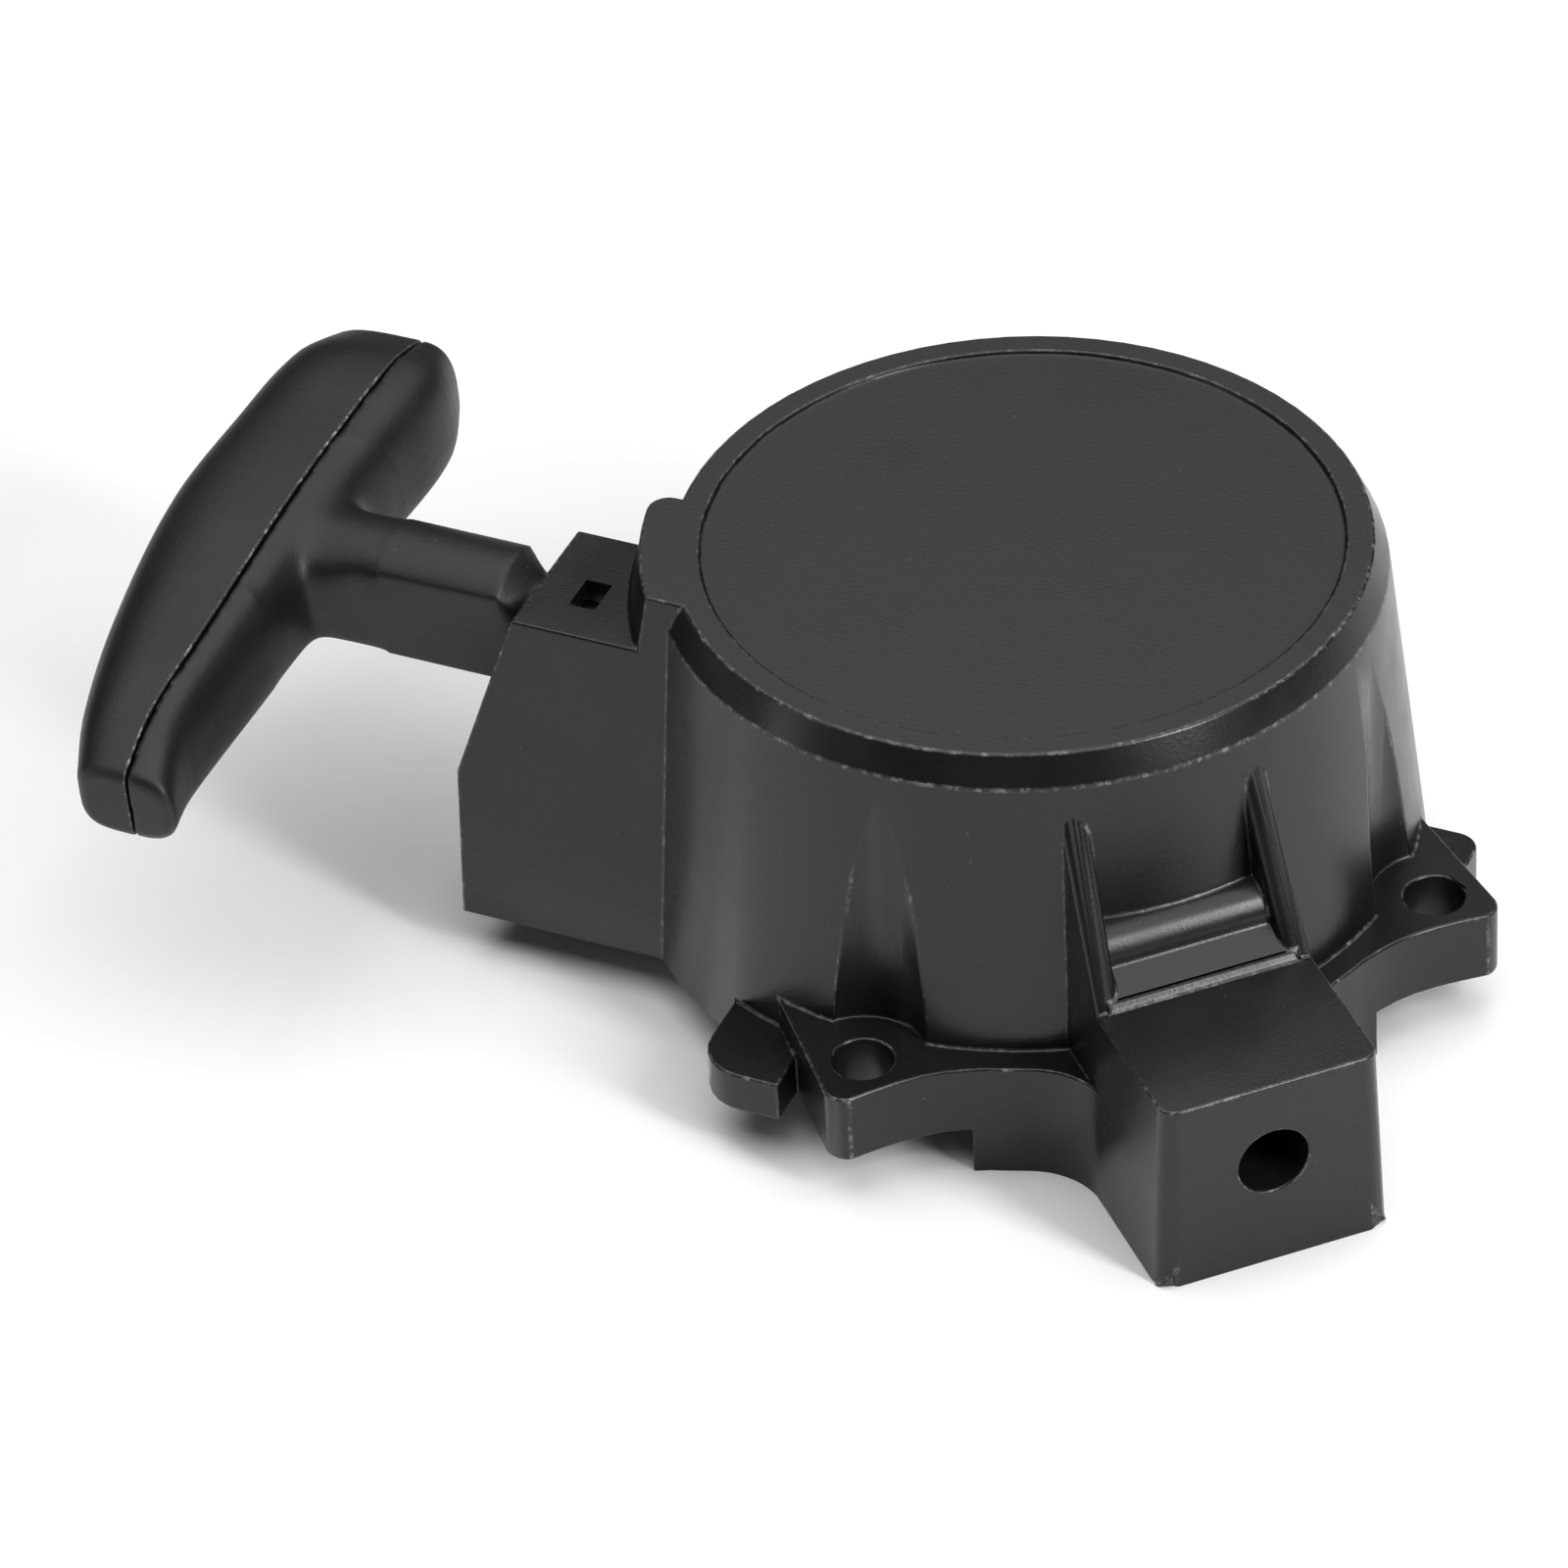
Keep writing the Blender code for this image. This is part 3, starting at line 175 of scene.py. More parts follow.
def add(tree, kind, values=None, **settings):
    """Add a node with its settings, its fixed values and its links."""
    made = tree.nodes.new(kind)
    for name, value in settings.items():
        setattr(made, name, value)
    for key, value in (values or {}).items():
        socket = made.inputs[key]
        if isinstance(value, bpy.types.NodeSocket):
            tree.links.new(value, socket)
        else:
            socket.default_value = value
    return made


def blank(name):
    """A new material with only its Principled shader and output."""
    made = bpy.data.materials.new(name)
    made.use_nodes = True
    tree = made.node_tree
    return made, tree, tree.nodes["Principled BSDF"]


def moulded(name, colour, worn, roughness, grain, depth, flecks):
    """Black glass-filled nylon as it leaves a steel mould: a fine spark-eroded grain that
    scatters highlights, faint flow marks, and edges rubbed paler with a few dusty flecks."""
    made, tree, shader = blank(name)
    place = add(tree, "ShaderNodeTexCoord").outputs["Object"]
    flow = add(
        tree,
        "ShaderNodeTexNoise",
        {"Vector": place, "Scale": 1 / (14 * MM), "Detail": 3.0, "Roughness": 0.6},
    ).outputs["Fac"]
    pits = add(
        tree,
        "ShaderNodeTexNoise",
        {"Vector": place, "Scale": 1 / grain, "Detail": 2.0, "Roughness": 0.55},
    ).outputs["Fac"]
    rub = add(
        tree,
        "ShaderNodeTexNoise",
        {"Vector": place, "Scale": 1 / (1.1 * MM), "Detail": 3.0, "Roughness": 0.7},
    ).outputs["Fac"]
    edge = add(tree, "ShaderNodeAttribute", attribute_name="edge_wear").outputs["Fac"]
    broken = add(
        tree,
        "ShaderNodeMapRange",
        {"Value": rub, "From Min": 0.5, "From Max": 0.72, "To Min": 0.06, "To Max": 0.9},
    ).outputs["Result"]
    wear = add(
        tree, "ShaderNodeMath", {0: edge, 1: broken}, operation="MULTIPLY", use_clamp=True
    ).outputs["Value"]
    # Dust caught in the grain: specks of about 0.25 mm, one to each few square millimetres.
    dust = add(
        tree, "ShaderNodeTexVoronoi", {"Vector": place, "Scale": 1 / (2.6 * MM)}
    ).outputs["Distance"]
    speck = add(
        tree,
        "ShaderNodeMapRange",
        {"Value": dust, "From Min": 0.045, "From Max": 0.085, "To Min": flecks, "To Max": 0.0},
    ).outputs["Result"]
    cloud = add(
        tree,
        "ShaderNodeMapRange",
        {"Value": flow, "From Min": 0.48, "From Max": 0.7, "To Min": 0.0, "To Max": 1.0},
    ).outputs["Result"]
    dusty = add(
        tree, "ShaderNodeMath", {0: speck, 1: cloud}, operation="MULTIPLY"
    ).outputs["Value"]
    pale = add(
        tree, "ShaderNodeMath", {0: wear, 1: dusty}, operation="MAXIMUM", use_clamp=True
    ).outputs["Value"]
    tint = add(
        tree,
        "ShaderNodeMix",
        {"Factor": flow, "A": linear(colour), "B": tuple(v * 1.3 for v in linear(colour))},
        data_type="RGBA",
    )
    shade = add(tree, "ShaderNodeMix", {"Factor": pale}, data_type="RGBA")
    tree.links.new(tint.outputs["Result"], shade.inputs["A"])
    shade.inputs["B"].default_value = linear(worn)
    tree.links.new(shade.outputs["Result"], shader.inputs["Base Color"])
    gloss = add(
        tree,
        "ShaderNodeMapRange",
        {
            "Value": flow,
            "From Min": 0.3,
            "From Max": 0.7,
            "To Min": roughness - 0.05,
            "To Max": roughness + 0.07,
        },
    ).outputs["Result"]
    tree.links.new(gloss, shader.inputs["Roughness"])
    shader.inputs["Specular IOR Level"].default_value = SKIN_GLOSS
    bump = add(tree, "ShaderNodeBump", {"Height": pits, "Strength": 0.6, "Distance": depth})
    tree.links.new(bump.outputs["Normal"], shader.inputs["Normal"])
    return made


def metal(name, colour, roughness, grain, stretch):
    """Steel with the marks of its making: stamping and tumbling leave short fine scratches
    that break the highlight, and plating or oil shifts the tone a little from place to place."""
    made, tree, shader = blank(name)
    place = add(tree, "ShaderNodeTexCoord").outputs["Object"]
    turned = add(tree, "ShaderNodeMapping", {"Vector": place, "Scale": stretch}).outputs["Vector"]
    marks = add(
        tree,
        "ShaderNodeTexNoise",
        {"Vector": turned, "Scale": 1 / grain, "Detail": 4.0, "Roughness": 0.65},
    ).outputs["Fac"]
    blush = add(
        tree, "ShaderNodeTexNoise", {"Vector": place, "Scale": 1 / (6 * MM), "Detail": 2.0}
    ).outputs["Fac"]
    shade = add(
        tree,
        "ShaderNodeMix",
        {"Factor": blush, "A": tuple(0.8 * v for v in linear(colour)[:3]) + (1.0,)},
        data_type="RGBA",
    )
    shade.inputs["B"].default_value = linear(colour)
    tree.links.new(shade.outputs["Result"], shader.inputs["Base Color"])
    shader.inputs["Metallic"].default_value = 1.0
    gloss = add(
        tree,
        "ShaderNodeMapRange",
        {"Value": marks, "To Min": roughness - 0.08, "To Max": roughness + 0.12},
    ).outputs["Result"]
    tree.links.new(gloss, shader.inputs["Roughness"])
    bump = add(tree, "ShaderNodeBump", {"Height": marks, "Strength": 0.4, "Distance": 0.02 * MM})
    tree.links.new(bump.outputs["Normal"], shader.inputs["Normal"])
    return made


def braided(name, colour, strands):
    """Braided polyester starter rope: two families of strands cross in a diamond pattern, each
    strand rounded, with a dull fibre sheen and painted shade darkening the gaps between strands. U
    counts braid repeats along the rope and V goes once round it."""
    made, tree, shader = blank(name)
    uv = add(tree, "ShaderNodeUVMap", uv_map="braid").outputs["UV"]
    split = add(tree, "ShaderNodeSeparateXYZ", {0: uv}).outputs
    turns = add(
        tree, "ShaderNodeMath", {0: split["Y"], 1: float(strands)}, operation="MULTIPLY"
    ).outputs["Value"]
    waves = []
    for operation in ("ADD", "SUBTRACT"):
        phase = add(
            tree, "ShaderNodeMath", {0: turns, 1: split["X"]}, operation=operation
        ).outputs["Value"]
        angle = add(
            tree, "ShaderNodeMath", {0: phase, 1: math.pi}, operation="MULTIPLY"
        ).outputs["Value"]
        wave = add(tree, "ShaderNodeMath", {0: angle}, operation="SINE").outputs["Value"]
        waves.append(
            add(tree, "ShaderNodeMath", {0: wave}, operation="ABSOLUTE").outputs["Value"]
        )
    height = add(
        tree, "ShaderNodeMath", {0: waves[0], 1: waves[1]}, operation="MULTIPLY"
    ).outputs["Value"]
    body = add(
        tree, "ShaderNodeMath", {0: height, 1: 0.5}, operation="POWER"
    ).outputs["Value"]
    # Painted shade: the colour falls to 0.3 of the rope's in the low gaps between the strands.
    shade = add(
        tree,
        "ShaderNodeMix",
        {"Factor": body, "A": tuple(0.3 * v for v in linear(colour)[:3]) + (1.0,)},
        data_type="RGBA",
    )
    shade.inputs["B"].default_value = linear(colour)
    tree.links.new(shade.outputs["Result"], shader.inputs["Base Color"])
    shader.inputs["Roughness"].default_value = 0.85
    shader.inputs["Sheen Weight"].default_value = 0.2
    bump = add(tree, "ShaderNodeBump", {"Height": body, "Strength": 0.9, "Distance": 0.25 * MM})
    tree.links.new(bump.outputs["Normal"], shader.inputs["Normal"])
    return made


def copied(node):
    """A CAD node's mesh as a bmesh, merged, with its flat faces made whole."""
    bm = bmesh.new()
    bm.from_mesh(frame["nodes"][node].data)
    bmesh.ops.remove_doubles(bm, verts=bm.verts, dist=MERGE)
    bmesh.ops.dissolve_limit(bm, angle_limit=FLAT_ANGLE, verts=bm.verts, edges=bm.edges)
    bmesh.ops.dissolve_degenerate(bm, dist=SHORTEST, edges=bm.edges)
    loose = [edge for edge in bm.edges if not edge.link_faces]
    bmesh.ops.delete(bm, geom=loose, context="EDGES")
    return bm


def sharp_edges(bm, angle=SHARP_ANGLE):
    return [
        edge for edge in bm.edges if edge.is_manifold and edge.calc_face_angle(0.0) > angle
    ]


def round_edges(bm, edges, radius, segments):
    """Round the given edges, and return the faces that the rounding makes."""
    made = bmesh.ops.bevel(
        bm,
        geom=edges,
        offset=radius,
        offset_type="OFFSET",
        segments=segments,
        profile=0.5,
        affect="EDGES",
        clamp_overlap=False,
        material=-1,
        loop_slide=True,
        miter_outer="SHARP",
        miter_inner="SHARP",
    )
    return made["faces"]


def mark_wear(bm, faces):
    """Store 1 along the middle of each rounded outside edge, where hands and tools rub."""
    layer = bm.verts.layers.float.get("edge_wear") or bm.verts.layers.float.new("edge_wear")
    bm.normal_update()
    rounded = set(faces)
    for vert in {vert for face in faces for vert in face.verts}:
        if any(face not in rounded for face in vert.link_faces):
            continue
        around = [edge.other_vert(vert).co for edge in vert.link_edges]
        middle = sum(around, Vector()) / len(around)
        if (middle - vert.co).dot(vert.normal) < 0.0:
            vert[layer] = 1.0


def finish_mesh(bm, name, looks, node, weighted=True):
    """Make the object and hide its CAD node, for which it stands."""
    mesh = bpy.data.meshes.new(name)
    for face in bm.faces:
        face.smooth = True
    for edge in sharp_edges(bm, CREASE_ANGLE):
        edge.smooth = False
    bm.to_mesh(mesh)
    bm.free()
    for look in looks:
        mesh.materials.append(look)
    piece = bpy.data.objects.new(name, mesh)
    bpy.context.scene.collection.objects.link(piece)
    if weighted:
        normals = piece.modifiers.new("Crisp faces", "WEIGHTED_NORMAL")
        normals.weight = 60
        normals.keep_sharp = True
    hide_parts(node)
    return piece


def refined(node, name, look, radius, segments=3):
    """A carried-over solid with its sharp edges rounded."""
    bm = copied(node)
    mark_wear(bm, round_edges(bm, sharp_edges(bm), radius, segments))
    piece = finish_mesh(bm, name, [look], node)
    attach(piece, BODY_OF[node])
    return piece


def in_lug(point):
    """A point's distance from the reel's axis along the lug, its distance across it, and z."""
    c = math.cos(LUG_ANGLE)
    s = math.sin(LUG_ANGLE)
    return point.x * c + point.y * s, point.y * c - point.x * s, point.z


def bridge(bm, rings):
    """Join equal closed rings of points in order, and close both ends."""
    loops = []
    for ring in rings:
        verts = bmesh.ops.create_circle(bm, segments=len(ring), radius=MM)["verts"]
        for vert, place in zip(verts, ring):
            vert.co = place
        loops.append({edge for vert in verts for edge in vert.link_edges})
    ends = [list(loops[0]), list(loops[-1])]
    for first, second in zip(loops, loops[1:]):
        bmesh.ops.bridge_loops(bm, edges=list(first | second))
    for end in ends:
        bmesh.ops.holes_fill(bm, edges=end, sides=0)
    bmesh.ops.recalc_face_normals(bm, faces=bm.faces)


class ShellSizes(bpy.types.PropertyGroup):
    edge: bpy.props.FloatProperty(
        name="Edge radius",
        description="Radius of the shell's moulded edges",
        default=0.4 * MM,
        precision=5,
        unit="LENGTH",
    )
    lug_corner: bpy.props.FloatProperty(
        name="Lug corner radius",
        description="Radius of the lug's two upright corners",
        default=2.2 * MM,
        precision=5,
        unit="LENGTH",
    )
    rib_edge: bpy.props.FloatProperty(
        name="Rib edge radius",
        description="Radius of the sloping edges of the two ribs",
        default=1.3 * MM,
        precision=5,
        unit="LENGTH",
    )


class GripSizes(bpy.types.PropertyGroup):
    cap_depth: bpy.props.FloatProperty(
        name="Cap depth",
        description="How far the cap stands out behind the seam",
        default=16.9 * MM,
        precision=5,
        unit="LENGTH",
    )
    body_depth: bpy.props.FloatProperty(
        name="Body depth",
        description="How far the finger side stands out from the seam",
        default=6.7 * MM,
        precision=5,
        unit="LENGTH",
    )
    half_height: bpy.props.FloatProperty(
        name="Half height",
        description="Half of the grip's height at the rope",
        default=9.3 * MM,
        precision=5,
        unit="LENGTH",
    )
    fillet_steps: bpy.props.IntProperty(
        name="Neck fillet",
        description="How many times the join of neck and grip is smoothed",
        default=60,
        min=0,
    )


class RopeSizes(bpy.types.PropertyGroup):
    radius: bpy.props.FloatProperty(
        name="Rope radius",
        description="Radius of the pull rope",
        default=1.6 * MM,
        precision=5,
        unit="LENGTH",
    )
    braid: bpy.props.FloatProperty(
        name="Braid repeat",
        description="Length of one repeat of the braid",
        default=2.4 * MM,
        precision=5,
        unit="LENGTH",
    )


class StudioLook(bpy.types.PropertyGroup):
    floor: bpy.props.StringProperty(
        name="Floor colour", description="sRGB hex colour of the floor", default="#f4f4f3"
    )
    overhead: bpy.props.FloatProperty(
        name="Overhead light",
        description="Power of the large softbox above",
        default=24.0,
        unit="POWER",
    )
    left_strip: bpy.props.FloatProperty(
        name="Left strip",
        description="Power of the upright strip light on the left",
        default=0.2,
        unit="POWER",
    )
    right_box: bpy.props.FloatProperty(
        name="Right softbox",
        description="Power of the tall softbox on the right, which lights the ribs and the bead",
        default=3.5,
        unit="POWER",
    )
    reflectors: bpy.props.FloatProperty(
        name="Floor reflectors",
        description="Power of each strip that draws a streak on the wall",
        default=0.0012,
        unit="POWER",
        precision=4,
    )
    sky: bpy.props.FloatProperty(
        name="Room light", description="Strength of the light from the room", default=0.03
    )


class STARTER_OT_shell(bpy.types.Operator):
    """Finish the moulded housing"""

    bl_idname = "starter.shell"
    bl_label = "Moulded shell"

    def stays_sharp(self, edge):
        """The foot's parting edge and the window's edges are as sharp as the mould."""
        foot = all(vert.co.z < 0.05 * MM for vert in edge.verts)
        window = all(
            WINDOW_LOW[0] < vert.co.x < WINDOW_HIGH[0]
            and WINDOW_LOW[1] < vert.co.y < WINDOW_HIGH[1]
            and vert.co.z > ROPE_Z
            for vert in edge.verts
        )
        return foot or window

    def trim_foot(self, bm):
        """Bring what the rounded corners push out at the foot back to the foot and the lug."""
        for vert in bm.verts:
            vert.co.z = max(vert.co.z, 0.0)
            along, across, z = in_lug(vert.co)
            if z < MM and along > LUG_REACH - LUG_HALF:
                along = min(along, LUG_REACH)
                across = max(-LUG_HALF_FOOT, min(across, LUG_HALF_FOOT))
                c = math.cos(LUG_ANGLE)
                n = math.sin(LUG_ANGLE)
                vert.co = (along * c - across * n, along * n + across * c, z)

    def under_chamfer(self, edge):
        """Whether the edge is on the ring where the chamfer meets the wall."""
        return edge.is_manifold and all(
            abs(vert.co.z - CHAMFER_Z) < 0.05 * MM
            and abs(math.hypot(vert.co.x, vert.co.y) - WALL_TOP_RADIUS) < 0.2 * MM
            for vert in edge.verts
        )

    def execute(self, context):
        sizes = context.scene.starter_shell
        bm = copied("housing")
        roof = [
            face
            for face in bm.faces
            if face.normal.z > 0.95 and face.calc_center_median().z > ROOF_Z
        ]
        for face in roof:
            face.material_index = 1

        def picks(test):
            chosen = []
            for edge in sharp_edges(bm, math.radians(12.0)):
                ends = [in_lug(vert.co) for vert in edge.verts]
                if test(*ends):
                    chosen.append(edge)
            return chosen

        corners = picks(
            lambda a, b: min(a[0], b[0]) > LUG_REACH - MM
            and min(abs(a[1]), abs(b[1])) > LUG_HALF - MM
            and abs(a[2] - b[2]) > MM
            and abs(a[1] - b[1]) < 2 * MM
        )
        worn = round_edges(bm, corners, sizes.lug_corner, 5)
        slope = (RIB_FOOT - RIB_TIP_OUT) / (RIB_TIP_Z - LUG_TOP_Z)

        def on_rib(end):
            face = RIB_TIP_OUT + slope * (RIB_TIP_Z - end[2])
            return abs(end[0] - face) < 0.1 * MM and abs(end[1]) < LUG_HALF + MM

        ribs = picks(lambda a, b: on_rib(a) and on_rib(b) and abs(a[2] - b[2]) > 4 * MM)
        worn += round_edges(bm, ribs, sizes.rib_edge, 4)
        worn = [face for face in worn if face.is_valid]
        rest = [edge for edge in sharp_edges(bm) if not self.stays_sharp(edge)]
        rest += [edge for edge in bm.edges if self.under_chamfer(edge)]
        worn += round_edges(bm, rest, sizes.edge, 3)
        mark_wear(bm, [face for face in worn if face.is_valid])
        self.trim_foot(bm)
        plastic = moulded(
            "black_moulded_nylon", "#131314", "#7c7c7a", 0.27, 0.45 * MM, 0.03 * MM, 0.25
        )
        # The roof's nylon has a matt, coarse grain, and its colour, paler than the wall's, is
        # painted light: it stands for the overhead light falling on the top.
        grain_and_painted_light_roof = moulded(
            "black_nylon_roof_grain_and_painted_light", "#212122", "#7c7c7a", 0.5, 0.5 * MM, 0.09 * MM, 0.2
        )
        shell = finish_mesh(bm, "housing_shell", [plastic, grain_and_painted_light_roof], "housing")
        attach(shell, "housing")
        return {"FINISHED"}


class STARTER_OT_grip(bpy.types.Operator):
    """Shape the two halves of the pull grip"""

    bl_idname = "starter.grip"
    bl_label = "Pull grip"

    def station(self, along):
        """The seam's x and the three shares at a place along the grip, on a smooth curve."""
        rows = GRIP_STATIONS
        k = max(i for i in range(len(rows) - 1) if rows[i][0] <= along)
        slopes = []
        for i in (k, k + 1):
            before = rows[max(i - 1, 0)]
            after = rows[min(i + 1, len(rows) - 1)]
            slopes.append([(b - a) / (after[0] - before[0]) for a, b in zip(before, after)])
        span = rows[k + 1][0] - rows[k][0]
        t = (along - rows[k][0]) / span
        weights = (
            2 * t**3 - 3 * t**2 + 1,
            3 * t**2 - 2 * t**3,
            (t**3 - 2 * t**2 + t) * span,
            (t**3 - t**2) * span,
        )
        ends = (rows[k], rows[k + 1], *slopes)
        return [sum(w * end[j] for w, end in zip(weights, ends)) for j in range(1, 5)]

    def ring(self, along, sign, sizes, powers, count=20):
        """Half of the grip's section at a share of its length, closed by its flat seam face."""
        s = along * (GRIP_FAR if along > 0 else GRIP_NEAR)
        seam, cap, body, high = self.station(along)
        depth = sizes.body_depth * body if sign > 0 else sizes.cap_depth * cap
        c = math.cos(GRIP_TILT)
        n = math.sin(GRIP_TILT)
        points = []
        for i in range(count + 1):
            turn = math.pi * i / count - math.pi / 2
            out = max(math.cos(turn), 0.0) ** powers[0]
            up = math.copysign(abs(math.sin(turn)) ** powers[1], turn)
            x = seam + sign * (SEAM_GAP / 2 + depth * out)
            h = sizes.half_height * high * up
            points.append((x, ROPE_Y + s * c - h * n, ROPE_Z + s * n + h * c))
        return points

    def half(self, sign, sizes, powers, stations=42):
        """One half as a bmesh, with its two ends rounded."""
        bm = bmesh.new()
        steps = [2 * i / stations - 1 for i in range(stations + 1)]
        bridge(bm, [self.ring(along, sign, sizes, powers) for along in steps])
        ends = [face for face in bm.faces if abs(face.normal.y) > 0.9 and len(face.verts) > 4]
        lips = []
        for face in ends:
            longest = max(face.edges, key=lambda edge: edge.calc_length())
            lips += [edge for edge in face.edges if edge is not longest]
        round_edges(bm, lips, END_ROUND, 4)
        return bm

    def execute(self, context):
        sizes = context.scene.starter_grip
        plastic = moulded(
            "black_grip_plastic", "#121213", "#a5a5a2", 0.45, 0.5 * MM, 0.05 * MM, 0.2
        )
        bm = self.half(-1, sizes, (0.55, 0.55))
        mark_wear(bm, round_edges(bm, sharp_edges(bm, math.radians(50.0)), 0.3 * MM, 3))
        cap = finish_mesh(bm, "grip_cap", [plastic], "handle_cap")
        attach(cap, "grip")

        bm = self.half(1, sizes, (0.8, 0.69))
        body = finish_mesh(bm, "grip_body", [plastic], "handle_body", weighted=False)
        join = body.modifiers.new("Neck", "BOOLEAN")
        join.operation = "UNION"
        join.object = self.neck()
        for i, (radius, start, end) in enumerate(GRIP_BORES):
            cut = body.modifiers.new(f"Bore {i}", "BOOLEAN")
            cut.operation = "DIFFERENCE"
            cut.object = self.rod(radius, start, end)
        skin = body.modifiers.new("Even skin", "REMESH")
        skin.mode = "VOXEL"
        skin.voxel_size = SKIN_VOXEL
        self.settle(body, sizes.fillet_steps)
        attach(body, "grip")
        return {"FINISHED"}

    def rod(self, radius, start, end):
        bm = bmesh.new()
        bmesh.ops.create_cone(
            bm, cap_ends=True, segments=48, radius1=radius, radius2=radius, depth=end - start
        )
        turn = Matrix.Rotation(math.pi / 2, 4, "Y")
        bm.transform(Matrix.Translation(((start + end) / 2, ROPE_Y, ROPE_Z)) @ turn)
        return self.helper(bm, "rod")

    def neck(self):
        """The flat-sided neck with its round top, chamfer and nose."""
        sections = (
            (NECK_ROOT_X, NECK_RADIUS - 0.6 * MM, NECK_RADIUS),
            (-86.5 * MM, NECK_RADIUS - 0.3 * MM, NECK_RADIUS + 3 * MM),
            (-82.0 * MM, NECK_RADIUS - 0.2 * MM, NECK_HALF_WIDTH + 0.8 * MM),
            (-79.0 * MM, NECK_RADIUS, NECK_HALF_WIDTH),
            (-60.4 * MM, NECK_RADIUS, NECK_HALF_WIDTH),
            (-57.6 * MM, 5.4 * MM, NECK_HALF_WIDTH + 2 * MM),
            (-54.6 * MM, 4.4 * MM, NECK_HALF_WIDTH + 2 * MM),
        )
        c = math.cos(GRIP_TILT)
        n = math.sin(GRIP_TILT)
        rings = []
        for x, radius, half in sections:
            ring = []
            for i in range(72):
                turn = 2 * math.pi * i / 72
                a = max(-half, min(half, radius * math.cos(turn)))
                h = radius * math.sin(turn)
                ring.append((x, ROPE_Y + a * c - h * n, ROPE_Z + a * n + h * c))
            rings.append(ring)
        bm = bmesh.new()
        bridge(bm, rings)
        return self.helper(bm, "neck")

    def helper(self, bm, name):
        mesh = bpy.data.meshes.new(name)
        bm.to_mesh(mesh)
        bm.free()
        obj = bpy.data.objects.new(name, mesh)
        bpy.context.scene.collection.objects.link(obj)
        return obj

    def settle(self, body, steps):
        """Apply the body's modifiers, drop the helpers and run a fillet round the neck's root."""
        graph = bpy.context.evaluated_depsgraph_get()
        mesh = bpy.data.meshes.new_from_object(body.evaluated_get(graph))
        for modifier in list(body.modifiers):
            if modifier.type == "BOOLEAN":
                bpy.data.objects.remove(modifier.object)
            body.modifiers.remove(modifier)
        bm = bmesh.new()
        bm.from_mesh(mesh)
        bmesh.ops.smooth_vert(
            bm, verts=bm.verts, factor=0.5, use_axis_x=True, use_axis_y=True, use_axis_z=True
        )
        near = []
        for vert in bm.verts:
            off = math.hypot(vert.co.y - ROPE_Y, vert.co.z - ROPE_Z)
            if FILLET_X[0] < vert.co.x < FILLET_X[1] and FILLET_OFF[0] < off < FILLET_OFF[1]:
                near.append(vert)
        for _ in range(steps):
            bmesh.ops.smooth_vert(
                bm, verts=near, factor=0.5, use_axis_x=True, use_axis_y=True, use_axis_z=True
            )
        bm.verts.layers.float.new("edge_wear")
        bm.to_mesh(body.data)
        bm.free()
        body.data.shade_smooth()


